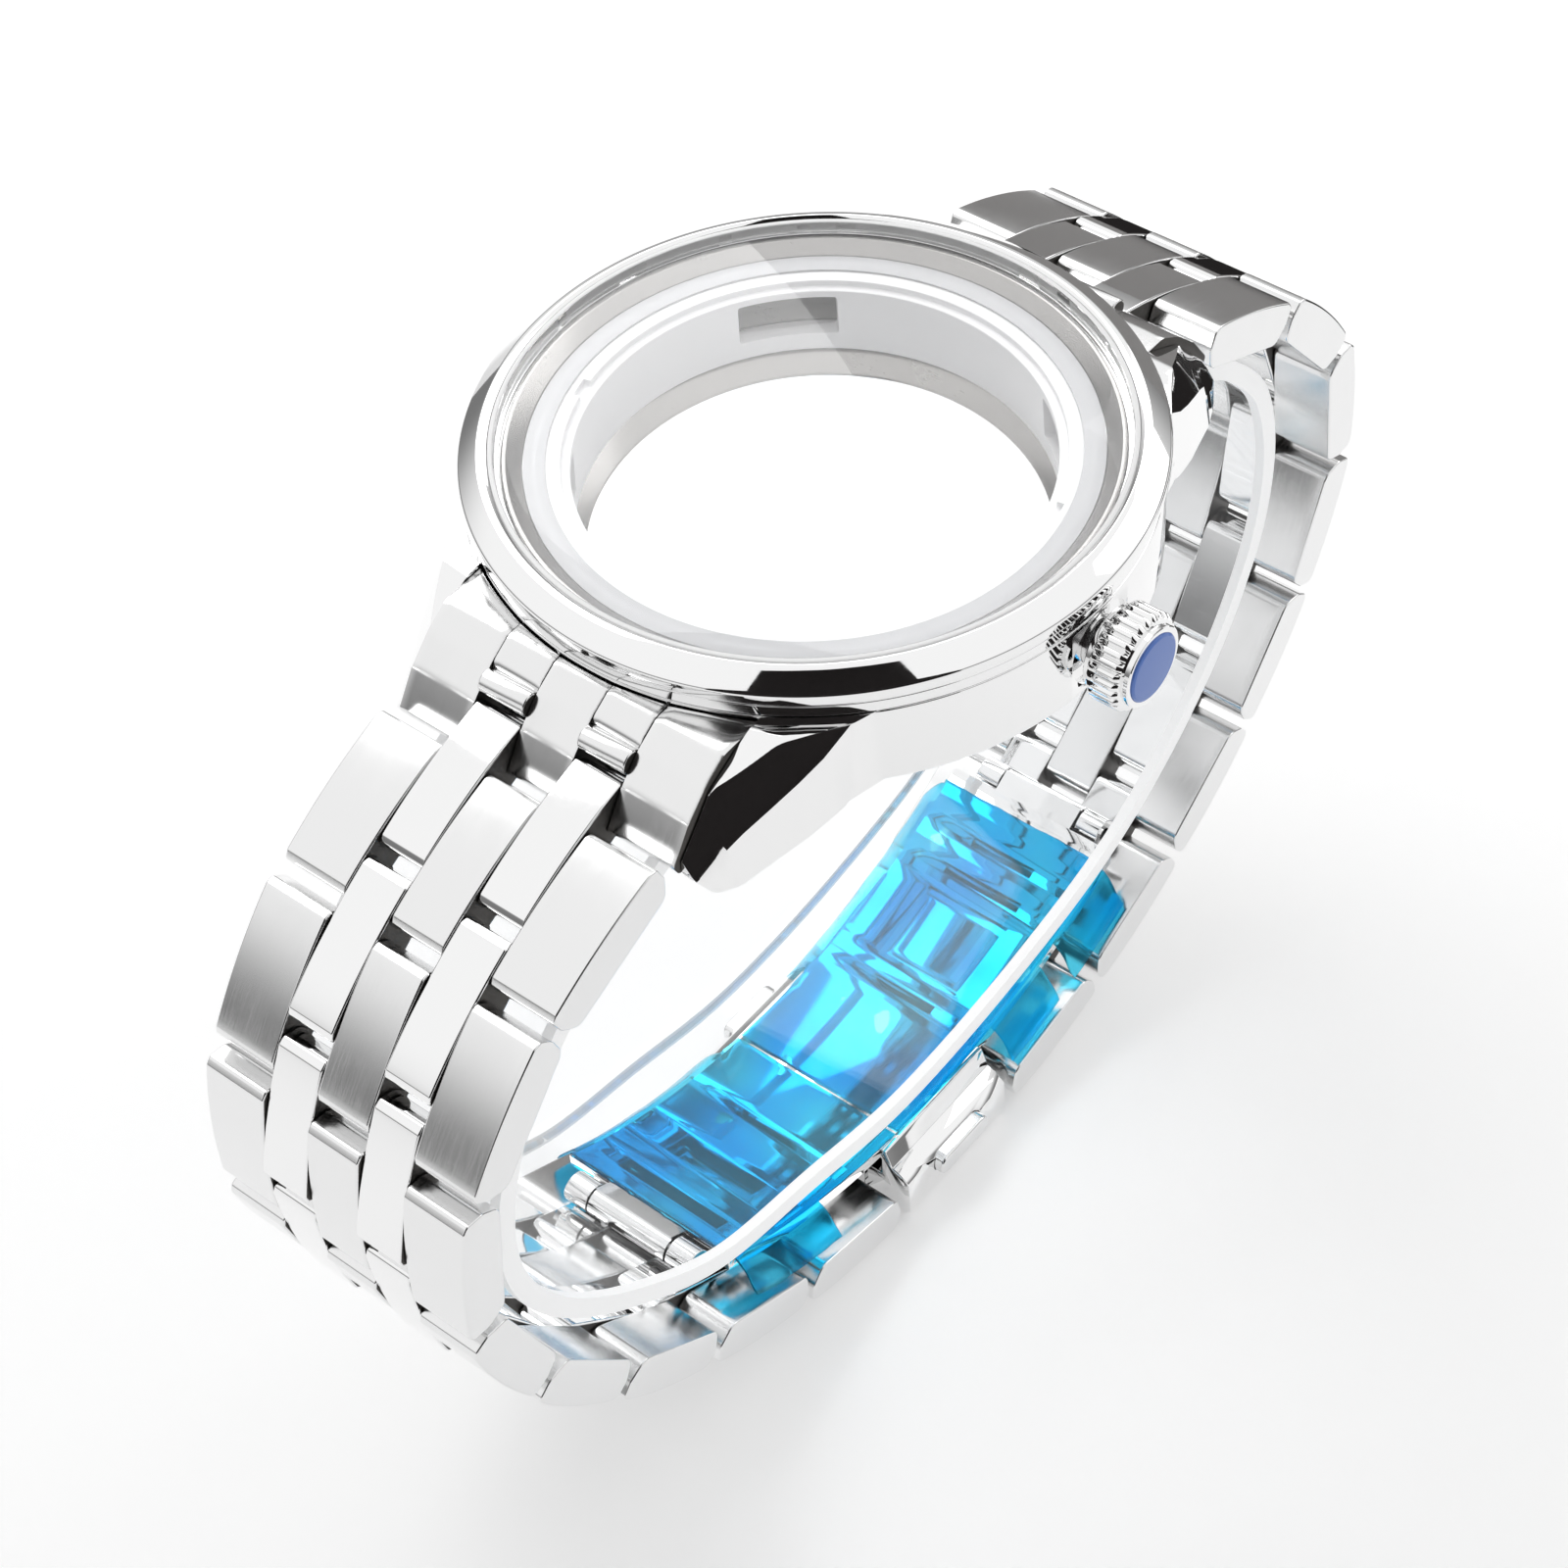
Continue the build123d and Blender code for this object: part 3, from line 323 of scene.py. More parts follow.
def put(tree, kind, inputs=(), **settings):
    """A new node. Its inputs go by name or number."""
    node = tree.nodes.new(kind)
    for title, value in settings.items():
        setattr(node, title, value)
    return wire(tree, node, dict(inputs))


def node_group(name, kind, inputs, outputs):
    """A group with named sockets, and the nodes at its two ends."""
    group = bpy.data.node_groups.new(name, kind)
    for title, socket_kind, start in inputs:
        socket = group.interface.new_socket(
            title, in_out="INPUT", socket_type="NodeSocket" + socket_kind)
        if start is not None:
            socket.default_value = start
    for title, socket_kind in outputs:
        group.interface.new_socket(
            title, in_out="OUTPUT", socket_type="NodeSocket" + socket_kind)
    return group, put(group, "NodeGroupInput"), put(group, "NodeGroupOutput")

# %% Brushed grain as a shader group
grain, grain_in, grain_out = node_group(
    "brushed grain", "ShaderNodeTree",
    (("Vector", "Vector", None), ("Stretch", "Vector", (1, 1, 1)), ("Depth", "Float", 0.2)),
    (("Grain", "Float"), ("Normal", "Vector")))
stretched = put(grain, "ShaderNodeVectorMath",
                {0: grain_in.outputs["Vector"], 1: grain_in.outputs["Stretch"]},
                operation="MULTIPLY")
lines = put(grain, "ShaderNodeTexNoise",
            {"Vector": stretched, "Scale": 1.0, "Detail": 3.0, "Roughness": 0.65})
cut = put(grain, "ShaderNodeBump",
          {"Height": lines, "Strength": grain_in.outputs["Depth"], "Distance": 0.00002})
wire(grain, grain_out, {"Grain": lines, "Normal": cut})

# %% Handling haze as a shader group
haze, haze_in, haze_out = node_group(
    "handling haze", "ShaderNodeTree",
    (("Vector", "Vector", None), ("Patch Size", "Float", 260.0)), (("Haze", "Float"),))
patches = put(haze, "ShaderNodeTexNoise",
              {"Vector": haze_in.outputs["Vector"], "Scale": haze_in.outputs["Patch Size"],
               "Detail": 5.0, "Roughness": 0.6})
wire(haze, haze_out, {"Haze": patches})
print("shader groups", grain.name, haze.name)


# %% Steel in its finishes
def new_material(name):
    material = bpy.data.materials.new(name)
    material.use_nodes = True
    tree = material.node_tree
    return material, tree, tree.nodes["Principled BSDF"]


def coordinates(tree):
    return put(tree, "ShaderNodeTexCoord").outputs["Object"]


def use_group(tree, group, **values):
    values["Vector"] = coordinates(tree)
    return put(tree, "ShaderNodeGroup", values, node_tree=group)


def map_range(tree, value, from_low, from_high, to_low, to_high, **settings):
    """A value moved from one range to another."""
    return put(tree, "ShaderNodeMapRange", {
        "Value": value, "From Min": from_low, "From Max": from_high,
        "To Min": to_low, "To Max": to_high}, **settings)


def steel(name, colour, smooth, rough, stretch_by, depth):
    """Metal whose roughness runs between two values with its grain and its haze."""
    material, tree, surface = new_material(name)
    lines_node = use_group(tree, grain, Stretch=stretch_by, Depth=depth)
    both = put(tree, "ShaderNodeMath", {0: lines_node, 1: use_group(tree, haze)},
               operation="MULTIPLY")
    wire(tree, surface, {
        "Base Color": (*colour, 1), "Metallic": 1.0,
        "Roughness": map_range(tree, both, 0.12, 0.45, smooth, rough),
        "Normal": lines_node.outputs["Normal"]})
    return material


ACROSS_LINES = (16000, 320, 320)
EVEN_LINES = (3200, 3200, 3200)
TURNED_LINES = (900, 9000, 9000)
satin_steel = steel("satin steel", (0.84, 0.84, 0.84), 0.13, 0.24, ACROSS_LINES, 0.05)
polished_steel = steel("polished steel", (0.9, 0.9, 0.9), 0.02, 0.06, EVEN_LINES, 0.006)
turned_steel = steel("turned steel", (0.76, 0.76, 0.76), 0.12, 0.22, TURNED_LINES, 0.04)
# Painted shade: a darker copy of the turned steel, for the flange and the inner walls that lie in
# shade inside the case.
ledge_shade_steel = steel("painted shade ledge steel", (0.4, 0.39, 0.38), 0.18, 0.3, TURNED_LINES, 0.04)
# Painted shade: near-black steel for the faces inside the seams, where shade falls between the
# rows.
seam_shade_steel = steel("painted seam shade steel", (0.09, 0.085, 0.08), 0.45, 0.6, EVEN_LINES, 0.1)
print("steels", satin_steel.name, polished_steel.name, turned_steel.name, seam_shade_steel.name)

# %% [markdown]
# ## Plastics, rubber and glass
# The holder ring is moulded plastic, so it is nearly matte and faintly mottled. The
# gaskets are softer plastic and rubber. Glass needs one trick: its shadow rays go
# straight through, because a path tracer would otherwise leave the inside dark.


# %% Plastics and rubber
def noise_on(tree, scale, detail):
    """Smooth noise over a piece."""
    return put(tree, "ShaderNodeTexNoise",
               {"Vector": coordinates(tree), "Scale": scale, "Detail": detail})


def moulded(name, colour, rough, mottle, bump):
    """Opaque plastic or rubber with a fine moulded skin."""
    material, tree, surface = new_material(name)
    speckle = noise_on(tree, mottle, 4.0)
    darker = [value * 0.96 for value in colour]
    tone = put(tree, "ShaderNodeMix",
               {"Factor": speckle, "A": (*darker, 1), "B": (*colour, 1)}, data_type="RGBA")
    wire(tree, surface, {
        "Base Color": tone.outputs["Result"],
        "Roughness": map_range(tree, speckle, 0, 1, rough - 0.07, rough + 0.07),
        "Normal": put(tree, "ShaderNodeBump",
                      {"Height": speckle, "Strength": bump, "Distance": 0.00003})})
    return material


holder_plastic = moulded("white holder plastic", (0.82, 0.82, 0.83), 0.4, 700, 0.03)
# Painted shade: a darker copy of the white holder plastic, for the flat land under the crystal.
land_shade_plastic = moulded("painted shade land plastic", (0.5, 0.505, 0.52), 0.35, 700, 0.03)
gasket_plastic = moulded("white gasket plastic", (0.93, 0.93, 0.93), 0.3, 1500, 0.08)
seal_rubber = moulded("black seal rubber", (0.03, 0.03, 0.032), 0.6, 2600, 0.3)
crown_enamel = moulded("blue crown enamel", (0.12, 0.24, 0.68), 0.2, 1200, 0.05)
# Painted glow: the frosted cut edge gives off a faint white light of its own.
frosted_edge_glow = moulded("frosted strip edge painted glow", (0.97, 0.975, 0.98), 0.4, 1400, 0.1)
wire(frosted_edge_glow.node_tree, frosted_edge_glow.node_tree.nodes["Principled BSDF"],
     {"Emission Color": (1, 1, 1, 1), "Emission Strength": 0.26})
print("plastics", holder_plastic.name, gasket_plastic.name, seal_rubber.name, crown_enamel.name)


# %% Clear materials
def clear(name, colour, smooth, rough, index, ripple, scale, see_through=0.9, coat=0.0,
          transmission=1.0):
    """Glass or clear plastic. Shadow rays pass, tinted by its colour."""
    material, tree, surface = new_material(name)
    flow = noise_on(tree, scale, 3.0)
    wave = put(tree, "ShaderNodeBump", {"Height": flow, "Strength": ripple, "Distance": 0.0001})
    wire(tree, surface, {
        "Base Color": (*colour, 1), "Transmission Weight": transmission, "IOR": index,
        "Coat Weight": coat, "Coat Roughness": 0.02, "Normal": wave,
        "Roughness": map_range(tree, flow, 0.35, 0.7, smooth, rough)})
    tint = [value * see_through for value in colour]
    passing = put(tree, "ShaderNodeBsdfTransparent", {"Color": (*tint, 1)})
    in_shadow = put(tree, "ShaderNodeLightPath").outputs["Is Shadow Ray"]
    choose = put(tree, "ShaderNodeMixShader", {"Fac": in_shadow, 1: surface, 2: passing})
    wire(tree, tree.nodes["Material Output"], {"Surface": choose})
    return material


WHITE = (1.0, 1.0, 1.0)
crystal_glass = clear("clear crystal", WHITE, 0.0, 0.012, 1.12, 0.0, 300, coat=0.8)
back_glass = clear("clear back glass", WHITE, 0.0, 0.015, 1.12, 0.0, 300, coat=0.5)
strip_plastic = clear(
    "clear strip plastic", (0.985, 0.99, 0.995), 0.03, 0.12, 1.08, 0.1, 160, coat=0.5)
film_plastic = clear(
    "blue film plastic", (0.3, 0.86, 0.99), 0.1, 0.22, 1.08, 0.3, 420, 0.95, coat=0.1,
    transmission=0.93)
film_tree = film_plastic.node_tree
tones = put(film_tree, "ShaderNodeValToRGB", {"Fac": noise_on(film_tree, 110.0, 1.0)})
deep, pale = tones.color_ramp.elements
deep.position, deep.color = 0.38, (0.02, 0.6, 0.96, 1)
pale.position, pale.color = 0.64, (0.13, 0.78, 0.99, 1)
wire(film_tree, film_tree.nodes["Principled BSDF"], {"Base Color": tones})
print("clear materials", crystal_glass.name, strip_plastic.name, film_plastic.name)

# %% [markdown]
# ## The turned rings of the head
# Bezel, flange, gaskets and case back come off a lathe, so each is an outline turned
# about the case's axis. Corners get a small radius, since a polished edge shows a thin
# bright line. Building them from cylinders and Booleans would cost more and give worse
# highlights.

# %% Bezel
bezel_outline = rounded(
    ((19.33, -0.25), (20.0, -0.25), (20.0, 0.53), (19.75, 0.6), (19.75, 0.75),
     (20.26, 0.85), (20.26, 1.6), (19.05, 2.36), (18.7, 2.45), (18.46, 2.3),
     (18.46, 1.38), (17.8, 1.38), (17.8, 1.05), (19.33, 1.05)),
    (0.05, 0.12, 0.08, 0.04, 0.04, 0.1, 0.35, 0.5, 0.12, 0.06, 0.02, 0.05, 0.05, 0.03),
    steps=6,
)
bezel = lathe("polished_bezel", bezel_outline)
dress(bezel, "head", polished_steel, ["bezel"])
print("bezel faces", len(bezel.data.polygons))


# %% Domed crystal and its gasket
def dome(radius, edge, top, steps):
    """Points of an arc from the rim, (radius, edge), up to the middle, (0, top)."""
    rise = top - edge
    curve = (radius ** 2 + rise ** 2) / (2 * rise)
    reach = math.asin(radius / curve)
    turns = [reach * (1 - step / steps) for step in range(steps + 1)]
    return [(curve * math.sin(turn), top - curve + curve * math.cos(turn)) for turn in turns]


CRYSTAL_R = 18.1
crystal_side = rounded(
    ((0, 1.4), (CRYSTAL_R, 1.4), (CRYSTAL_R, 2.34)), (0, 0.12, 0), open_ends=True)
crystal_top = dome(CRYSTAL_R, 2.4, 3.9, 24)
crystal = lathe("domed_crystal", crystal_side + crystal_top[1:], angle=40)
dress(crystal, "head", crystal_glass, ["crystal"])
gasket = lathe("crystal_gasket_ring", rounded(
    ((CRYSTAL_R, 1.4), (18.44, 1.4), (18.44, 2.34), (CRYSTAL_R, 2.34)), (0.02, 0.02, 0.1, 0.1)))
dress(gasket, "head", gasket_plastic, ["crystal_gasket"])
print("crystal faces", len(crystal.data.polygons))

# %% Flange ring
flange = lathe("flange_slope", rounded(
    ((17.66, 0.44), (17.66, 1.28), (17.42, 1.28), (16.55, 0.58), (16.5, 0.44)),
    (0.04, 0.06, 0.08, 0.05, 0.02)))
# The flange slope gets the painted shade steel.
dress(flange, "head", ledge_shade_steel, ["flange_ring"])
land = lathe("holder_land", rounded(
    ((15.2, 0.44), (16.49, 0.44), (16.49, 0.55), (15.2, 0.55)), (0.02, 0.02, 0.03, 0.05)))
# The land gets the painted shade plastic.
dress(land, "head", land_shade_plastic, ["flange_ring"])
print("flange faces", len(flange.data.polygons))


# %% Case back, its window and gasket
def second_finish(item, material, chosen):
    """Give the faces that pass a test a second material."""
    item.data.materials.append(material)
    for face in item.data.polygons:
        if chosen(face):
            face.material_index = 1
    return item


def inside_ring(near, far, low, high):
    """A test for faces between two radii and two heights."""
    return lambda face: (near * MM < face.center.xy.length < far * MM
                         and low * MM < face.center.z < high * MM)


def cut_round(item, name, outline, from_x, to_x, turns):
    """Cut with an outline pushed outwards, at each of some turns about the case's axis."""
    for turn in turns:
        cutter = sawn(name, outline, from_x, to_x)
        cutter.data.transform(Matrix.Rotation(turn, 4, "Z"))
        carve(item, cutter)


BACK_LOW = -7.6
BACK_HIGH = -6.3
BACK_GLASS_R = 14.5
back_ring = lathe("case_back_ring_turned", rounded(
    ((14.82, -7.8), (17.7, -7.8), (18.2, -7.3), (18.2, -5.83), (17.55, -5.83),
     (17.55, -6.28), (16.95, -6.28), (16.95, -5.83), (16.5, -5.83), (16.5, -4.95),
     (14.6, -4.95), (13.3, -6.1), (13.3, BACK_HIGH), (14.82, BACK_HIGH)),
    (0.1, 0.2, 0.2, 0.06, 0.03, 0.03, 0.03, 0.03, 0.02, 0.08, 0.15, 0.05, 0.05, 0.02)))
KEY_SLOTS = 6
cut_round(back_ring, "key_slot", ((-1.5, -8.0), (1.5, -8.0), (1.5, -7.1), (-1.5, -7.1)),
          17.3, 19.5, [math.tau * count / KEY_SLOTS for count in range(KEY_SLOTS)])
tidy(back_ring)
dress(back_ring, "case_back", polished_steel, ["case_back_ring"])
# Painted shade on the inner ledge of the back ring, with the darker steel.
second_finish(back_ring, ledge_shade_steel, inside_ring(13.2, 16.4, -6.25, -4.9))
back_window = lathe("back_window_disc", rounded(
    ((0, BACK_LOW), (BACK_GLASS_R, BACK_LOW), (BACK_GLASS_R, BACK_HIGH), (0, BACK_HIGH)),
    (0, 0.15, 0.1, 0)))
dress(back_window, "case_back", back_glass, ["back_window"])
window_gasket = lathe("back_window_gasket", rounded(
    ((BACK_GLASS_R, BACK_LOW), (14.8, BACK_LOW), (14.8, BACK_HIGH), (BACK_GLASS_R, BACK_HIGH)),
    0.05))
dress(window_gasket, "case_back", gasket_plastic, ["window_gasket"])
print("case back faces", len(back_ring.data.polygons))

# %% [markdown]
# ## The movement holder
# The white ring inside is one moulding. It takes the dial on its upper step and the
# movement in its bore, and four windows let a tool reach the clamps. The windows are
# cut after turning, as the mould's side cores would do, each in a shallow recess.

# %% Movement holder
CROWN_Z = -3.1
holder = lathe("movement_holder", rounded(
    ((13.8, -4.68), (15.82, -4.68), (15.82, 0.4), (14.35, 0.4), (14.35, 0.0), (13.8, 0.0)),
    (0.15, 0.1, 0.1, 0.1, 0.03, 0.12)))
window = rounded(((-2.95, -3.4), (2.95, -3.4), (2.95, -0.5), (-2.95, -0.5)), 0.25)
window_recess = rounded(((-3.5, -4.2), (3.5, -4.2), (3.5, -0.2), (-3.5, -0.2)), 0.25)
quarters = [math.radians(45 + 90 * count) for count in range(4)]
cut_round(holder, "holder_window", window, 13.0, 16.5, quarters)
cut_round(holder, "window_recess", window_recess, 14.5, 16.5, quarters)
dial_notch = rounded(((-0.7, 0.0), (0.7, 0.0), (0.7, 1.0), (-0.7, 1.0)), 0.12)
cut_round(holder, "dial_notch", dial_notch, 13.9, 14.8, [math.radians(15), math.radians(195)])
carve(holder, rod("stem_hole", 1.0, 13.0, 17.0, (0, CROWN_Z)))
tidy(holder)
dress(holder, "head", holder_plastic, ["movement_ring"])
print("holder faces", len(holder.data.polygons))

# %% [markdown]
# ## The middle case and its lugs
# The ring is turned and the four lugs are milled. Each lug has a leaning outer facet
# that gets narrower towards the nose, and a rounded nose. The facet comes from eight
# cross-sections, and the side outline cuts it off, which is how a milled lug is made.

# %% One lug
BAR_Y = 21.05
BAR_Z = -5.7
LUG_FOOT = -8.6
LUG_INNER_X = 10.05
# y of each cross-section, x at its foot, its outer shoulder (x, z) and z at its inner edge
LUG_STATIONS = (
    (13.2, 14.95, 14.8, 1.15, 10.9), (15.0, 14.6, 14.26, -0.32, 8.35),
    (16.75, 14.25, 13.73, -1.75, 5.83), (18.3, 13.85, 13.22, -2.65, 3.53),
    (20.0, 13.2, 12.58, -3.6, 0.83), (21.6, 12.6, 11.95, -4.5, -1.65),
    (23.2, 12.0, 11.4, -5.5, -3.61), (24.9, 11.35, 10.9, -6.6, -5.5),
)
LOFT_STEPS = 6


def lug_section(y, foot_x, edge_x, edge_z, inner_z):
    return [(LUG_INNER_X, y, LUG_FOOT), (foot_x, y, LUG_FOOT), (edge_x, y, edge_z),
            (LUG_INNER_X, y, inner_z)]


lug_sections = []
for before, after in zip(LUG_STATIONS, LUG_STATIONS[1:]):
    for step in range(LOFT_STEPS):
        share = step / LOFT_STEPS
        lug_sections.append(lug_section(
            *[one + (two - one) * share for one, two in zip(before, after)]))
lug_sections.append(lug_section(*LUG_STATIONS[-1]))
lug_side = rounded(
    ((12.2, -0.3), (18.3, -0.3), (21.5, -1.9), (23.9, -3.5), (24.6, -4.9), (24.6, -6.3),
     (23.8, -7.6), (22.4, -7.9), (15.9, -6.05), (15.6, -5.8), (12.2, -5.8)),
    (0, 2.0, 3.0, 1.2, 0.9, 0.9, 0.8, 1.2, 0.6, 0.4, 0), steps=8)
lug = block("lug", lug_sections)
soften(lug, 0.12, segments=3, angle=30)
carve(lug, sawn("lug_side_cutter", lug_side, 9.0, 16.0), "INTERSECT")
carve(lug, rod("bar_hole", 0.45, 9.0, 11.6, (BAR_Y, BAR_Z)))
tidy(lug)
soften(lug, 0.1, segments=2, angle=40)
print("lug faces", len(lug.data.polygons))

# %% Ring with four lugs
mid_case = lathe("middle_case", rounded(
    ((20.0, -5.8), (20.0, -0.3), (19.3, -0.3), (19.3, 1.0), (17.7, 1.0), (17.7, 0.42),
     (15.9, 0.42), (15.9, -4.7), (16.6, -4.7), (16.6, -5.8)),
    (0.25, 0.12, 0.02, 0.05, 0.05, 0.02, 0.05, 0.03, 0.03, 0.05)))
carve(mid_case, rod("crown_recess", 2.6, 19.6, 21.0, (0, CROWN_Z)))
carve(mid_case, rod("tube_hole", 1.5, 15.0, 21.0, (0, CROWN_Z)))
carve(lug, lathe("case_core", ((0, -9.5), (19.5, -9.5), (19.5, 3.0), (0, 3.0))))
for mirror_x, mirror_y in ((1, 1), (1, -1), (-1, 1), (-1, -1)):
    copy = new_object("lug_copy", lug.data.copy())
    copy.data.transform(Matrix.Diagonal((mirror_x, mirror_y, 1, 1)))
    tidy(copy)
    carve(mid_case, copy, "UNION")
bpy.data.objects.remove(lug)
tidy(mid_case, 24)
dress(mid_case, "head", polished_steel, ["mid_case"])
# Painted shade on the inner wall of the middle case, with the darker steel.
second_finish(mid_case, ledge_shade_steel, inside_ring(15.85, 15.97, -4.7, 0.4))
print("middle case faces", len(mid_case.data.polygons))

# %% [markdown]
# ## The crown
# The crown's grip is a row of equal ridges, so a Geometry Nodes tree cuts them: it
# moves every point of the rim inwards, by an amount that follows its angle. The number of
# flutes and their depth are inputs, so another crown needs no new mesh.


# %% Fluted crown
def calc(tree, operation, *terms):
    """A Math node on up to three terms."""
    return put(tree, "ShaderNodeMath", enumerate(terms), operation=operation)


def run_tree(item, tree, values):
    """Run the tree on an object with its named inputs set, and keep the plain mesh."""
    modifier = item.modifiers.new(tree.name, "NODES")
    modifier.node_group = tree
    for socket in tree.interface.items_tree:
        if socket.item_type == "SOCKET" and socket.in_out == "INPUT" and socket.name in values:
            modifier[socket.identifier] = values[socket.name]
    return settle(item)


def finish_tree(tree, tree_in, tree_out, geometry):
    """End a tree with real geometry in the material that its input names."""
    real = put(tree, "GeometryNodeRealizeInstances", {0: geometry})
    coloured = put(tree, "GeometryNodeSetMaterial",
                   {0: real, "Material": tree_in.outputs["Material"]})
    wire(tree, tree_out, {0: coloured})


flutes, flutes_in, flutes_out = node_group(
    "crown flutes", "GeometryNodeTree",
    (("Geometry", "Geometry", None), ("Flutes", "Int", 32), ("Depth", "Float", 0.0002),
     ("Axis Height", "Float", -0.0031), ("Material", "Material", None)),
    (("Geometry", "Geometry"),))
place = put(flutes, "ShaderNodeSeparateXYZ", {0: put(flutes, "GeometryNodeInputPosition")})
up = calc(flutes, "SUBTRACT", place.outputs[2], flutes_in.outputs["Axis Height"])
angle = calc(flutes, "ARCTAN2", up, place.outputs[1])
turned = calc(flutes, "MULTIPLY", angle, flutes_in.outputs["Flutes"])
wave = calc(flutes, "COSINE", calc(flutes, "MULTIPLY", turned, 0.5))
narrow = calc(flutes, "POWER", calc(flutes, "ABSOLUTE", wave), 5.0)
rim = put(flutes, "GeometryNodeInputNamedAttribute", {0: "rim"}).outputs["Attribute"]
depth = calc(flutes, "MULTIPLY", calc(flutes, "MULTIPLY", narrow, rim), flutes_in.outputs["Depth"])
outward = put(flutes, "ShaderNodeCombineXYZ", {1: place.outputs[1], 2: up})
unit = put(flutes, "ShaderNodeVectorMath", {0: outward}, operation="NORMALIZE")
shift = put(flutes, "ShaderNodeVectorMath",
            {0: unit, "Scale": calc(flutes, "MULTIPLY", depth, -1.0)}, operation="SCALE")
moved = put(flutes, "GeometryNodeSetPosition", {0: flutes_in.outputs["Geometry"], 3: shift})
finish_tree(flutes, flutes_in, flutes_out, moved)

# Where the grip starts and ends along x, and how far from the crown's axis it starts
CROWN_GRIP = (20.8, 22.95, 2.6)
FLUTE_START = 2.7
FLUTE_FADE = 0.25
crown_outline = (
    (1.95, 20.45), (2.5, 20.45), (2.55, 20.5), (2.55, 20.85), (2.78, 20.85), (2.95, 20.98),
    (3.0, 21.08), (3.0, 21.6), (3.0, 22.3), (3.0, 22.62), (2.93, 22.76), (2.78, 22.92),
    (2.5, 22.99), (2.5, 23.3), (2.44, 23.35), (2.12, 23.35), (2.1, 23.32), (2.1, 23.1),
    (0, 23.1), (0, 22.2), (1.95, 22.2),
)
crown = lathe("fluted_crown", crown_outline, segments=384, axis="X", height=CROWN_Z, angle=40)
on_rim = crown.data.attributes.new("rim", "FLOAT", "POINT")
for number, vertex in enumerate(crown.data.vertices):
    from_axis = math.hypot(vertex.co.y / MM, vertex.co.z / MM - CROWN_Z)
    if CROWN_GRIP[0] < vertex.co.x / MM < CROWN_GRIP[1] and from_axis > CROWN_GRIP[2]:
        on_rim.data[number].value = min(1.0, (from_axis - FLUTE_START) / FLUTE_FADE)
run_tree(crown, flutes, {"Flutes": 28, "Depth": 0.24 * MM, "Axis Height": CROWN_Z * MM,
                         "Material": polished_steel})
tidy(crown, 30)
dress(crown, "crown", polished_steel, ["crown"])
inlay = lathe("crown_inlay", rounded(
    ((0, 23.1), (2.1, 23.1), (2.1, 23.42), (1.96, 23.5), (0, 23.5)), (0, 0.01, 0.06, 0.06, 0)),
    segments=96, axis="X", height=CROWN_Z)
dress(inlay, "crown", crown_enamel, ["crown_disc"])
print("crown faces", len(crown.data.polygons))

# %% [markdown]
# ## Spring bars and end links
# A spring bar is a tube with a sprung tip at each end. An end link fills the gap
# between the lugs: three plain rows with a curved top, and two rows that end in a
# small rolled bar over the first link. Its back follows the case, so every section
# is pushed against the case's radius.

# %% Spring bars
for clock, side in ((6, -1), (12, 1)):
    bar_place = (side * BAR_Y, BAR_Z)
    bar = joined(f"spring_bar_{clock}_turned", [
        rod("tube", 0.7, -9.6, 9.6, bar_place), rod("tips", 0.4, -11.3, 11.3, bar_place, 32)])
    dress(bar, "head", turned_steel, [f"spring_bar_{clock}"])
print("spring bar faces", len(bar.data.polygons))


# %% End links
def darken_seams(item, outer_x):
    """Painted shade in the seams: the faces that look along x and lie inside the rows get the dark
    seam steel.
    """
    return second_finish(item, seam_shade_steel, lambda face: abs(face.normal.x) > 0.97
                         and abs(face.center.x) < outer_x * MM)


CASE_SIDE_R = 20.14
ROW_STEPS = 10


def end_row(work, outline, from_x, to_x, side, crown_height):
    """A row of an end link, pushed back to the case and crowned across its width."""
    sections = []
    for step in range(ROW_STEPS + 1):
        share = step / ROW_STEPS
        x = from_x + (to_x - from_x) * share
        case_y = math.sqrt(CASE_SIDE_R ** 2 - x ** 2)
        dip = crown_height * (2 * share - 1) ** 2
        sections.append([(x, side * max(y, case_y), z - (dip if z > -3.2 and y < 24.2 else 0))
                         for y, z in outline])
    add_block(work, sections)


plain_row = rounded(
    ((17.0, -0.5), (20.4, -0.55), (22.0, -1.55), (23.6, -3.1), (25.15, -5.4), (24.8, -6.1),
     (23.9, -6.4), (20.0, -6.95), (17.0, -6.95)),
    (0, 1.2, 3.0, 3.0, 0.4, 0.4, 0.4, 0.5, 0), steps=8)
rolled_row = rounded(
    ((17.0, -0.5), (20.4, -0.55), (21.9, -1.5), (22.1, -3.0), (21.4, -3.05), (21.4, -4.6),
     (17.0, -4.6)),
    (0, 1.2, 1.0, 0.3, 0.2, 0.3, 0), steps=8)
PLAIN_SPANS = ((-9.98, -5.33), (-1.88, 1.88), (5.33, 9.98))
ROLLED_SPANS = ((-5.27, -1.94), (1.94, 5.27))
for clock, side in ((6, -1), (12, 1)):
    work = bmesh.new()
    for from_x, to_x in PLAIN_SPANS:
        end_row(work, plain_row, from_x, to_x, side, 0.08)
    for from_x, to_x in ROLLED_SPANS:
        end_row(work, rolled_row, from_x, to_x, side, 0.05)
    rows = from_bmesh(f"end_link_{clock}_rows", work)
    soften(rows, 0.09, segments=3, angle=40)
    rolls = joined("rolls", [
        rod("roll", 0.75, from_x, to_x, (side * 22.55, -2.35), 40)
        for from_x, to_x in ROLLED_SPANS])
    soften(rolls, 0.1, segments=3, angle=40)
    rows = joined(f"end_link_{clock}_made", [rows, rolls])
    tidy(rows, 35)
    dress(rows, "head", satin_steel, [f"end_link_{clock}"])
    # Painted shade in the seams between the rows.
    darken_seams(rows, 10.5)
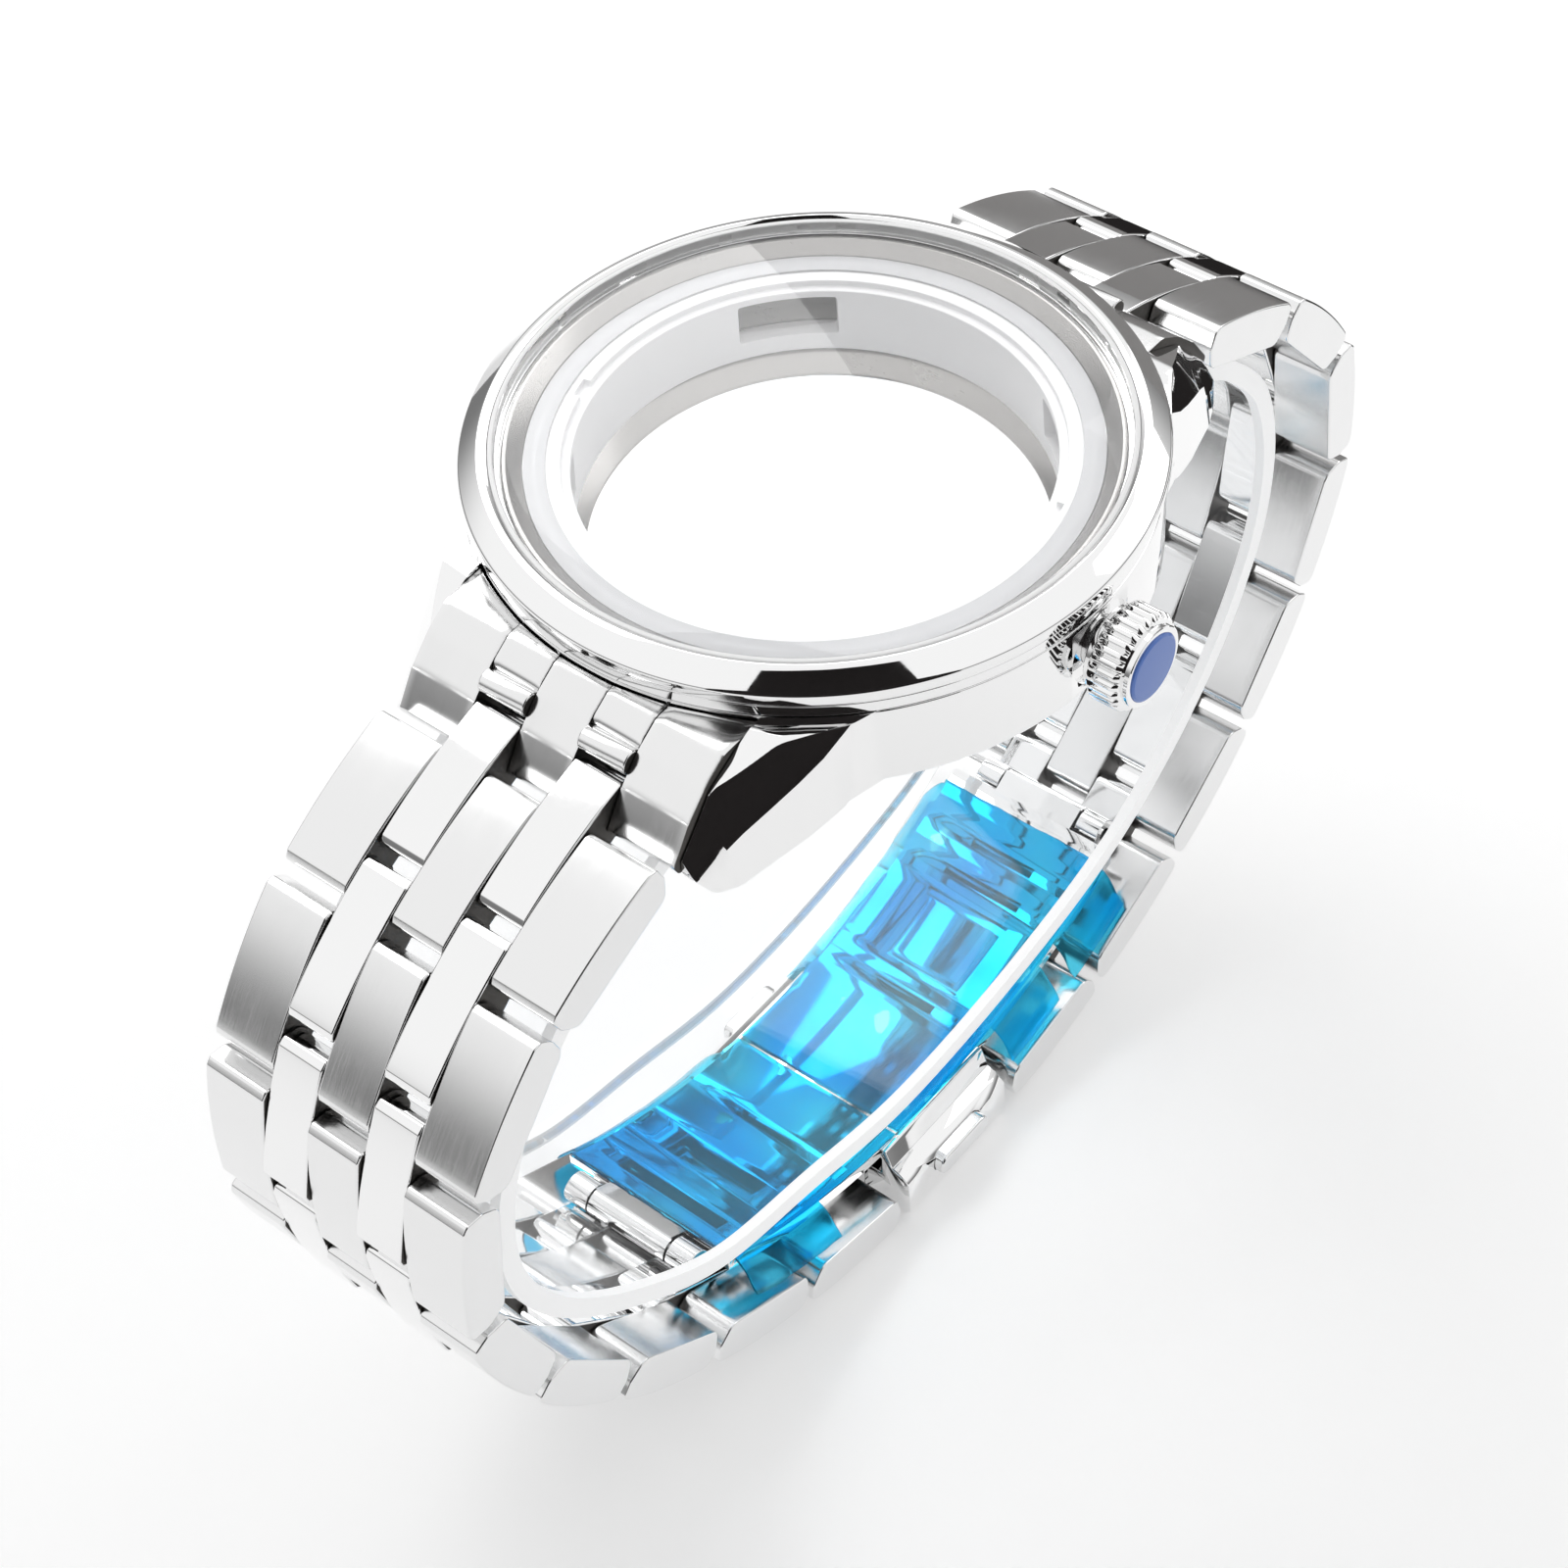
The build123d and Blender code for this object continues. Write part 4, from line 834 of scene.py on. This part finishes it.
print("end link faces", len(rows.data.polygons))

# %% [markdown]
# ## Thirty-two brick links
# The bracelet has five rows. Outer pieces hold rows one, three and five, and inner
# pieces hold rows two and four half a step further on. One Geometry Nodes tree makes
# both kinds: it pushes a side outline sideways into rows and mirrors them. Each piece
# turns on its own pins, so it becomes its own mesh on its own body.

# %% Tree for the rows of a link
brick, brick_in, brick_out = node_group(
    "brick rows", "GeometryNodeTree",
    (("Geometry", "Geometry", None), ("Inner Edge", "Float", 0.0053),
     ("Outer Edge Start", "Float", 0.01), ("Outer Edge End", "Float", 0.01),
     ("Middle Half Width", "Float", 0.0019), ("Has Middle Row", "Bool", True),
     ("Material", "Material", None)),
    (("Geometry", "Geometry"),))
outline_face = brick_in.outputs["Geometry"]
pushed = put(brick, "GeometryNodeExtrudeMesh", {
    "Mesh": outline_face, "Offset": put(brick, "ShaderNodeCombineXYZ", {0: 1.0}),
    "Individual": False})


def together(*sockets):
    join = put(brick, "GeometryNodeJoinGeometry")
    for socket in sockets:
        brick.links.new(socket, join.inputs[0])
    return join


closed = together(pushed.outputs["Mesh"], outline_face)
spot = put(brick, "ShaderNodeSeparateXYZ", {0: put(brick, "GeometryNodeInputPosition")})


def row_at(x):
    """The closed row, which runs from x = 0 to 1, with new x for its points."""
    there = put(brick, "ShaderNodeCombineXYZ", {0: x, 1: spot.outputs[1], 2: spot.outputs[2]})
    return put(brick, "GeometryNodeSetPosition", {0: closed, 2: there})


along = put(brick, "GeometryNodeInputNamedAttribute", {0: "along"}).outputs["Attribute"]
edge_start, inner_edge = brick_in.outputs["Outer Edge Start"], brick_in.outputs["Inner Edge"]
taper = calc(brick, "SUBTRACT", brick_in.outputs["Outer Edge End"], edge_start)
edge = calc(brick, "MULTIPLY_ADD", taper, along, edge_start)
width = calc(brick, "SUBTRACT", edge, inner_edge)
side_row = row_at(calc(brick, "MULTIPLY_ADD", width, spot.outputs[0], inner_edge))
centred = calc(brick, "MULTIPLY_ADD", spot.outputs[0], 2.0, -1.0)
middle_row = row_at(calc(brick, "MULTIPLY", centred, brick_in.outputs["Middle Half Width"]))
pair = put(brick, "GeometryNodeMeshLine", {0: 2, "Offset": (0, 0, 0)})
flip = calc(brick, "MULTIPLY_ADD", put(brick, "GeometryNodeInputIndex"), -2.0, 1.0)
both_rows = put(brick, "GeometryNodeInstanceOnPoints", {
    "Points": pair, "Instance": side_row,
    "Scale": put(brick, "ShaderNodeCombineXYZ", {0: flip, 1: 1.0, 2: 1.0})})
maybe = put(brick, "GeometryNodeSwitch",
            {"Switch": brick_in.outputs["Has Middle Row"], "True": middle_row},
            input_type="GEOMETRY")
finish_tree(brick, brick_in, brick_out, together(both_rows.outputs[0], maybe.outputs[0]))
print("row tree nodes", len(brick.nodes))

# %% Every link
LINK_LENGTH = 9.8
LINK_OFFSET = 0.93
LINK_HALF = 1.6
BAND_HALF = 10.0
BAND_TAPER = 0.011
ARCH_STEPS = 16
ARCH_DIP = 0.3


def beside_link(clock, index, share, out):
    """A point beside a link: share along it from its first pin, out from its middle."""
    side = 1 if clock == 12 else -1
    first, second = Vector(pins[clock][index]), Vector(pins[clock][index + 1])
    run = (second - first).normalized()
    return tuple(first + run * share + Vector((-run.y, run.x)) * side * out)


def link_range(index):
    middle = PIN_STEP / 2 + (LINK_OFFSET if index % 2 == 0 else -LINK_OFFSET)
    return middle - LINK_LENGTH / 2, middle + LINK_LENGTH / 2


def link_side(start, end):
    """The side outline, with a top that is arched a little along the bracelet."""
    corners = [(end, 0.98), (end, -0.2), (end - 0.75, -LINK_HALF),
               (start + 0.75, -LINK_HALF), (start, -0.2), (start, 0.98)]
    for step in range(ARCH_STEPS + 1):
        share = step / ARCH_STEPS
        corners.append((start + 0.45 + (end - start - 0.9) * share,
                        LINK_HALF - ARCH_DIP * (2 * share - 1) ** 2))
    bends = [0.35, 0.7, 0.9, 0.9, 0.7, 0.35, 0.35] + [0] * (ARCH_STEPS - 1) + [0.35]
    return rounded(corners, bends, steps=5)


def side_face(name, clock, index):
    """The side outline of a link as one face at x = 0, with its share along the link."""
    start, end = link_range(index)
    outline = link_side(start, end)
    mesh = bpy.data.meshes.new(name)
    points = [beside_link(clock, index, share, out) for share, out in outline]
    order = list(range(len(points)))
    mesh.from_pydata([(0, y * MM, z * MM) for y, z in points], [],
                     [order if clock == 6 else order[::-1]])
    along_link = mesh.attributes.new("along", "FLOAT", "POINT")
    for number, (share, out) in enumerate(outline):
        along_link.data[number].value = (share - start) / (end - start)
    return new_object(name, mesh)


def band_edge(index, share):
    """Half the width of the tapered band, share along a link."""
    return BAND_HALF - BAND_TAPER * (index * PIN_STEP + share)


OUTER_KIND = ("outer", satin_steel, "steel_satin", 5.3)
INNER_KIND = ("inner", polished_steel, "steel_polished", 1.95)
INNER_FAR = 5.25
MIDDLE_HALF = 1.9
link_faces = 0
for clock in (6, 12):
    for index in range(LINKS):
        kind, finish, slot_name, near = INNER_KIND if index % 2 == 0 else OUTER_KIND
        far = [INNER_FAR if kind == "inner" else band_edge(index, share)
               for share in link_range(index)]
        node = f"link_{clock}_{kind}_{index // 2 + 1}"
        link = run_tree(side_face(node + "_rows", clock, index), brick, {
            "Inner Edge": near * MM, "Outer Edge Start": far[0] * MM,
            "Outer Edge End": far[1] * MM, "Middle Half Width": MIDDLE_HALF * MM,
            "Has Middle Row": kind == "outer", "Material": finish})
        tidy(link, 30)
        soften(link, 0.13, segments=3, angle=40)
        dress(link, node, finish, [node])
        # Painted shade in the seams between the rows.
        darken_seams(link, 5.6)
        link_faces += len(link.data.polygons)
print("faces in all links", link_faces)

# %% [markdown]
# ## The folding clasp
# Two arms and a base plate are stamped from strip and curved about one centre, so each
# is a part of a ring seen from the side. Blocks at the plate's edges carry the two
# push-buttons. A side outline is enough to draw them, because their width is constant.

# %% Clasp curve
CLASP_START = 13
HINGE_Y = 22.6
SHEET = 1.0
low_z = pins[12][-1][1]
start_y, start_z = pins[12][CLASP_START]
start_rise = start_z - low_z
clasp_r = (start_y ** 2 + start_rise ** 2) / (2 * start_rise)
clasp_z = low_z + clasp_r
arm_out_r = clasp_r - LINK_HALF - 0.45
arm_in_r = arm_out_r - SHEET
plate_out_r = arm_in_r - 0.3
plate_in_r = plate_out_r - SHEET
hinge_r = (arm_out_r + plate_in_r) / 2
hinge_z = clasp_z - math.sqrt(hinge_r ** 2 - HINGE_Y ** 2)


def on_curve(radius, y):
    return (y, clasp_z - math.sqrt(radius ** 2 - y ** 2))


def band(outer, inner, low_y, high_y, steps=40):
    """Side outline of a part of a ring about the clasp's centre."""
    ys = [low_y + (high_y - low_y) * step / steps for step in range(steps + 1)]
    return [on_curve(outer, y) for y in ys] + [on_curve(inner, y) for y in reversed(ys)]


def span(side, near, far):
    """Two distances on one side of the middle, the lower place first."""
    return sorted((side * near, side * far))


print("clasp radius", round(clasp_r, 3), "centre", round(clasp_z, 3))

# %% Clasp arms and hinge pins
ARM_HALF = 5.2
TONGUE_X = (1.95, INNER_FAR)
KNUCKLE_X = (3.35, ARM_HALF)
KNUCKLE_R = 1.1
KNUCKLE_Y = (20.4, HINGE_Y)
MIDDLE_GAP = 0.3
link_top = low_z + LINK_HALF
link_under = low_z - LINK_HALF
tongue_start = link_range(LINKS)[0]
cover = PIN_STEP + link_range(1)[0]
for clock, side in ((6, -1), (12, 1)):
    at = partial(beside_link, clock, LINKS)
    middle = side * MIDDLE_GAP
    hinge = (side * HINGE_Y, hinge_z)
    parts = [sawn("band", band(arm_out_r, arm_in_r, *span(side, MIDDLE_GAP, 21.25)),
                  -ARM_HALF, ARM_HALF)]
    knuckle_arm = band(arm_out_r, arm_in_r, *span(side, *KNUCKLE_Y), 6)
    for hand in (-1, 1):
        parts.append(sawn("knuckle_arm", knuckle_arm, *span(hand, *KNUCKLE_X)))
        parts.append(rod("knuckle", KNUCKLE_R, *span(hand, *KNUCKLE_X), hinge, 40))
    tongue = [
        at(tongue_start + 0.7, LINK_HALF), at(PIN_STEP, LINK_HALF),
        (middle, link_under), (middle, link_top),
        at(PIN_STEP, -LINK_HALF), at(tongue_start + 0.75, -LINK_HALF),
        at(tongue_start, -0.2), at(tongue_start, 1.1),
    ]
    for hand in (-1, 1):
        parts.append(sawn("tongue", tongue, *span(hand, *TONGUE_X)))
    cap = [
        (middle, link_under), at(PIN_STEP, LINK_HALF), at(cover + 0.7, LINK_HALF),
        at(cover, 1.1), at(cover, -LINK_HALF), (middle, link_top),
    ]
    parts.append(sawn("cap", cap, -TONGUE_X[1], TONGUE_X[1]))
    web_y = side * (abs(pins[clock][-1][0]) + 0.5)
    web_top = clasp_z - arm_in_r - 0.5
    web = ((middle, low_z), (web_y, low_z), (web_y, web_top), (middle, web_top))
    parts.append(sawn("web", web, -ARM_HALF, ARM_HALF))
    arm = joined(f"clasp_arm_{clock}_made", parts)
    soften(arm, 0.08, segments=2, angle=40)
    dress(arm, f"clasp_arm_{clock}", polished_steel, [f"clasp_arm_{clock}"])
    pin = rod(f"clasp_pin_{clock}_turned", 0.5, -ARM_HALF, ARM_HALF, hinge, 32)
    dress(pin, "clasp_plate", turned_steel, [f"clasp_pin_{clock}"])
print("clasp arm faces", len(arm.data.polygons))

# %% Base plate with its lock blocks
PLATE_HALF = 6.75
TAIL_HALF = 3.2
SLOTS = ((-19.4, -18.2, 4.2), (-15.6, -13.4, 3.4), (-9.6, -8.9, 2.6),
         (5.4, 6.1, 2.6), (14.8, 15.5, 3.2), (17.2, 17.9, 2.6))
plate = sawn("plate_band", band(plate_out_r, plate_in_r, -21.2, 21.2, 60), -PLATE_HALF, PLATE_HALF)
for from_y, to_y, half_x in SLOTS:
    carve(plate, sawn("slot", band(plate_out_r + 1, plate_in_r - 1, from_y, to_y, 4),
                      -half_x, half_x))
frame_cut = sawn("frame", band(plate_in_r + 0.35, plate_in_r - 1, 7.4, 13.6, 12), -3.4, 3.4)
frame_keep = sawn("keep", band(plate_in_r + 2, plate_in_r - 2, 8.1, 12.9, 12), -2.7, 2.7)
carve(frame_cut, frame_keep)
carve(plate, frame_cut)
tidy(plate, 35)
soften(plate, 0.1, segments=2, angle=50)
plate_parts = [plate]
for end in (-1, 1):
    tail = band(plate_out_r, plate_in_r, *span(end, *KNUCKLE_Y), 6)
    plate_parts.append(sawn("tail", tail, -TAIL_HALF, TAIL_HALF))
    plate_parts.append(rod("middle_knuckle", KNUCKLE_R, -TAIL_HALF, TAIL_HALF,
                           (end * HINGE_Y, hinge_z), 40))
LOCK_HALF = 5.45
lock_x = BAND_HALF - BAND_TAPER * HINGES * PIN_STEP
plate_top = clasp_z - plate_in_r - 0.04
LOCK_SECTION = (
    (6.6, plate_top), (7.1, plate_top), (7.6, link_top + 1.3), (8.3, link_top + 1.05),
    (lock_x, link_top + 0.35), (lock_x, link_under + 0.5), (lock_x - 0.5, link_under),
    (5.4, link_under), (5.4, link_top), (6.72, link_top), (6.72, plate_top - 1),
    (6.6, plate_top - 1))


def button_side(half_y, low, high, radius):
    """Side outline of a button, or of the pocket that it slides in."""
    low, high = low_z + low, low_z + high
    return rounded(((-half_y, low), (half_y, low), (half_y, high), (-half_y, high)), radius)


for hand in (-1, 1):
    lock = block("lock_block", [[(hand * x, y, z) for x, z in LOCK_SECTION]
                                for y in (-LOCK_HALF, LOCK_HALF)])
    carve(lock, sawn("button_pocket", button_side(2.66, 0.35, 2.17, 0.8), *span(hand, 7.2, 9.5)))
    tidy(lock, 35)
    soften(lock, 0.25, segments=3, angle=50)
    plate_parts.append(lock)
plate = joined("clasp_plate_made", plate_parts)
tidy(plate, 35)
dress(plate, "clasp_plate", polished_steel, ["clasp_plate"])
print("plate faces", len(plate.data.polygons))

# %% Push-buttons
for hand, place_name in ((-1, "left"), (1, "right")):
    button = sawn(f"push_button_{place_name}", button_side(2.6, 0.41, 2.11, 0.75),
                  *span(hand, 8.1, lock_x + 0.7))
    soften(button, 0.22, segments=4, angle=50)
    node = f"clasp_button_{place_name}"
    dress(button, node, satin_steel, [node])
print("button faces", len(button.data.polygons))

# %% [markdown]
# ## Protective film and strip
# The plate still wears its blue film, in two lengths, and the bracelet its clear
# strip. Film creases in broad folds, so its points are lifted by a smooth noise. It
# only lifts away from the plate, because the plate is steel.

# %% Blue film
FILM_HALF = 6.85
FILM_STEPS = 56
FILM_ROWS = 4
FILM_THICK = 0.06
FLAP_HALF = 8.75
FLAP_DROP = 2.3
FLAP_STEPS = 8


def lift_at(x, y):
    """How far the film stands off the plate, from a broad fold and a sharper crease."""
    fold = noise.noise(Vector((x * 0.35, y * 0.22, 1.7))) * 0.5 + 0.5
    crease = abs(noise.noise(Vector((x * 0.5 + y * 0.3, y * 0.12 - x * 0.2, 5.1))))
    return 0.03 + 0.16 * fold * fold + 0.12 * max(0.0, 0.25 - crease) * 4 * fold


def film(name, low_y, high_y, flaps):
    """A thin sheet on the plate's inner face, with creases and flaps over its edge."""
    work = bmesh.new()
    steps_y = int((high_y - low_y) * FILM_ROWS)
    ys = [low_y + (high_y - low_y) * row / steps_y for row in range(steps_y + 1)]
    xs = [-FILM_HALF + 2 * FILM_HALF * column / FILM_STEPS for column in range(FILM_STEPS + 1)]
    grid = [add_row(work, [(x, *on_curve(plate_in_r - 0.02 - lift_at(x, y), y)) for x in xs])
            for y in ys]
    for first, second in zip(grid, grid[1:]):
        bridge(work, first, second, closed=False)
    for flap_low, flap_high, hand in flaps:
        rows = [row for row, y in enumerate(ys) if flap_low <= y <= flap_high]
        before = [grid[row][-1 if hand > 0 else 0] for row in rows]
        for step in range(1, FLAP_STEPS + 1):
            share = step / FLAP_STEPS
            across = FILM_HALF + share * (FLAP_HALF - FILM_HALF)
            sag = share ** 1.3 * FLAP_DROP
            points = []
            for row in rows:
                wave_y = noise.noise(Vector((ys[row] * 0.5, share * 2, 9.0))) * 0.35 * share
                radius = plate_in_r - 0.15 + sag + wave_y * 0.5
                points.append((hand * across, *on_curve(radius, ys[row] + wave_y)))
            ring = add_row(work, points)
            bridge(work, before, ring, closed=False)
            before = ring
    sheet = from_bmesh(name, work, 180)
    thick = sheet.modifiers.new("thickness", "SOLIDIFY")
    thick.thickness = FILM_THICK * MM
    thick.offset = 1.0
    return settle(sheet)


film_6 = film("blue_film_6", -21.0, -4.0, ((-20.8, -12.2, 1), (-20.5, -6.0, -1)))
film_12 = film("blue_film_12", -3.7, 20.2, ((6.8, 12.5, 1), (14.0, 20.0, 1), (3.4, 20.0, -1)))
dress(film_6, "clasp_plate", film_plastic, ["film_6"])
dress(film_12, "clasp_plate", film_plastic, ["film_12"])
print("film faces", len(film_6.data.polygons) + len(film_12.data.polygons))

# %% [markdown]
# ## The loose strip
# A clear strip keeps the bracelet round and stops its links from rubbing. It is bent
# by hand, so its curve is a little uneven. Its cut edges are frosted white and carry a
# painted glow, which is why they are pieces of their own.

# %% Clear strip and its cut edges
STRIP_POINTS = (
    (-23.01, -7.25), (-28.01, -9.49), (-33.19, -12.9), (-37.59, -18.21), (-39.52, -24.51),
    (-39.0, -30.29), (-36.0, -35.99), (-30.49, -41.6), (-23.01, -46.6), (-13.99, -48.59),
    (-4.0, -50.4), (8.29, -49.58), (20.02, -46.6), (29.3, -40.21), (35.19, -32.02),
    (36.89, -24.51), (35.59, -17.52), (32.0, -12.69), (28.01, -9.71), (23.01, -7.25),
)
STRIP_STEPS = 8


def smooth_path(points, steps):
    """A Catmull-Rom curve through the points."""
    path = []
    ends = [Vector(point) for point in (points[0], *points, points[-1])]
    for a, b, c, d in zip(ends, ends[1:], ends[2:], ends[3:]):
        for step in range(steps):
            t = step / steps
            path.append(0.5 * (2 * b + (c - a) * t + (2 * a - 5 * b + 4 * c - d) * t ** 2
                               + (3 * b - a - 3 * c + d) * t ** 3))
    return path + [ends[-1]]


def strip_slab(name, half_thick, from_x, to_x):
    """The path moved to both sides, with caps of quads, so that it shades smoothly."""
    path = smooth_path(STRIP_POINTS, STRIP_STEPS)
    inner, outer = [], []
    for index, point in enumerate(path):
        run = path[min(index + 1, len(path) - 1)] - path[max(index - 1, 0)]
        across = Vector((-run.y, run.x)).normalized() * half_thick
        inner.append(point + across)
        outer.append(point - across)
    work = bmesh.new()
    rings = [add_row(work, [(x, *point) for point in inner + outer[::-1]])
             for x in (from_x, to_x)]
    bridge(work, rings[1], rings[0])
    for ring in rings:
        bridge(work, ring[:len(path)], ring[:len(path) - 1:-1], closed=False)
    return from_bmesh(name, work, 40)


sheet = strip_slab("clear_strip_sheet", 0.42, -7.28, 7.28)
left_edge = strip_slab("strip_edge_left", 0.68, -8.0, -7.3)
right_edge = strip_slab("strip_edge_right", 0.68, 7.3, 8.0)
dress(sheet, "head", strip_plastic, ["inner_strip"])
# The cut edges carry a painted glow.
dress(left_edge, "head", frosted_edge_glow, [])
dress(right_edge, "head", frosted_edge_glow, [])
for piece in (sheet, left_edge, right_edge):
    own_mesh(piece)
print("strip faces", len(sheet.data.polygons) + 2 * len(left_edge.data.polygons))

# %% [markdown]
# ## CAD parts that stay
# Three small parts have the right shape already: the tube that the crown runs on, the
# seal in the crown and the seal of the case back. They only get a better material.

# %% Materials of the kept parts
KEPT_PARTS = (("crown_tube", turned_steel), ("crown_gasket", seal_rubber),
              ("case_back_seal", seal_rubber))
for node, material in KEPT_PARTS:
    kept = frame["nodes"][node]
    kept.data.materials.clear()
    kept.data.materials.append(material)
print("kept CAD parts", len(KEPT_PARTS))

# %% [markdown]
# ## Floor, light and white surroundings
# The photograph has a white sweep, one broad light from the upper left and a dark side
# towards the camera. Polished steel shows what stands around it, so the surroundings
# are made with as much care as the steel: a white world and a few dark cards.

# %% Floor
FLOOR_Z = low_z - LINK_HALF
FLOOR_HALF = 3000
FLOOR_LIFT = 0.3


def surround(name, points, faces, material):
    """A part of the surroundings, which the export leaves out."""
    mesh = bpy.data.meshes.new(name)
    mesh.from_pydata([Vector(point) * MM for point in points], [], faces)
    item = new_object(name, mesh)
    item.data.materials.append(material)
    return item


def seen_directly(tree):
    """1 for camera, glossy and transmission rays, 0 for the rays that light things."""
    rays = put(tree, "ShaderNodeLightPath").outputs
    seen = calc(tree, "MAXIMUM", rays["Is Camera Ray"], rays["Is Glossy Ray"])
    return calc(tree, "MAXIMUM", seen, rays["Is Transmission Ray"])


paper, paper_tree, paper_surface = new_material("pale floor paper")
wire(paper_tree, paper_surface, {
    "Base Color": (0.84, 0.84, 0.84, 1), "Roughness": 0.7, "Specular IOR Level": 0.1,
    "Emission Color": (1, 1, 1, 1),
    "Emission Strength": calc(paper_tree, "MULTIPLY", seen_directly(paper_tree), FLOOR_LIFT)})
surround("pale_floor", [
    (-FLOOR_HALF, -FLOOR_HALF, FLOOR_Z), (FLOOR_HALF, -FLOOR_HALF, FLOOR_Z),
    (FLOOR_HALF, FLOOR_HALF, FLOOR_Z), (-FLOOR_HALF, FLOOR_HALF, FLOOR_Z)],
    [(0, 1, 2, 3)], paper)
print("floor height in mm", round(FLOOR_Z, 2))

# %% White world with a darker horizon for the steel
WORLD_LIGHT = 0.55
HORIZON = 0.2
world = bpy.data.worlds.new("white_studio")
bpy.context.scene.world = world
world.use_nodes = True
room = world.node_tree
level = map_range(room, seen_directly(room), 0, 1, WORLD_LIGHT, 1.0)
direction = put(room, "ShaderNodeTexCoord").outputs["Generated"]
upward = put(room, "ShaderNodeSeparateXYZ", {0: direction}).outputs["Z"]
height = map_range(room, upward, 0.02, 0.5, HORIZON, 1.0, interpolation_type="SMOOTHERSTEP")
grey = put(room, "ShaderNodeCombineColor", {"Red": height, "Green": height, "Blue": height})
on_gloss = put(room, "ShaderNodeLightPath").outputs["Is Glossy Ray"]
shown = put(room, "ShaderNodeMix", {"Factor": on_gloss, "A": (1, 1, 1, 1), "B": grey},
            data_type="RGBA")
wire(room, room.nodes["Background"], {"Strength": level, "Color": shown.outputs["Result"]})
print("world nodes", len(room.nodes))

# %% Lamps
LAMP_AIM = Vector((0, 0, -20)) * MM


def lamp(name, place, size, power):
    """A broad lamp that looks at the object. Place and size are in metres."""
    data = bpy.data.lights.new(name, "AREA")
    data.shape = "RECTANGLE"
    data.size, data.size_y = size
    data.energy = power
    item = new_object(name, data)
    item.location = place
    item.rotation_euler = (LAMP_AIM - item.location).to_track_quat("-Z", "Y").to_euler()


lamp("broad_light", (-0.34, 0.16, 0.36), (0.4, 0.4), 1.1)
lamp("far_fill", (0.1, 0.5, 0.3), (0.5, 0.3), 0.5)
print("lamps", len(bpy.data.lights))


# %% Dark cards, seen only in the steel
def cloth(name, colour, shine):
    material, tree, surface = new_material(name)
    wire(tree, surface,
         {"Base Color": (*colour, 1), "Roughness": 0.9, "Specular IOR Level": shine})
    return material


felt = cloth("black felt", (0.02, 0.018, 0.018), 0.0)
grey_felt = cloth("grey felt", (0.36, 0.35, 0.345), 0.5)


def card(name, points, faces, material=felt):
    """Felt round the table. Only glossy rays meet it, so it lights and hides nothing."""
    item = surround(name, points, faces, material)
    for rays in ("camera", "diffuse", "shadow", "transmission", "volume_scatter"):
        setattr(item, "visible_" + rays, False)


def wall(name, from_turn, to_turn, radius, low, top, material=felt, steps=24):
    """A bent wall between two turns about the case."""
    points, faces = [], []
    for step in range(steps + 1):
        turn = math.radians(from_turn + (to_turn - from_turn) * step / steps)
        for z in (low, top):
            points.append((radius * math.cos(turn), radius * math.sin(turn), z))
    for first in range(0, 2 * steps, 2):
        faces.append((first, first + 1, first + 3, first + 2))
    card(name, points, faces, material)


mat_z = FLOOR_Z + 1
wall("dark_side_camera", -82, -14, 260, FLOOR_Z + 20, 2600)
wall("dark_far_side", 80, 125, 200, mat_z, 25, grey_felt)
card("dark_far_mat", [(-60, 100, mat_z), (60, 100, mat_z), (90, 190, mat_z), (-90, 190, mat_z)],
     [(0, 1, 2, 3)])

# %% [markdown]
# ## Finish
# The view transform is Standard, so a colour comes out as it was written.

# %% View transform and the end
bpy.context.scene.view_settings.view_transform = "Standard"
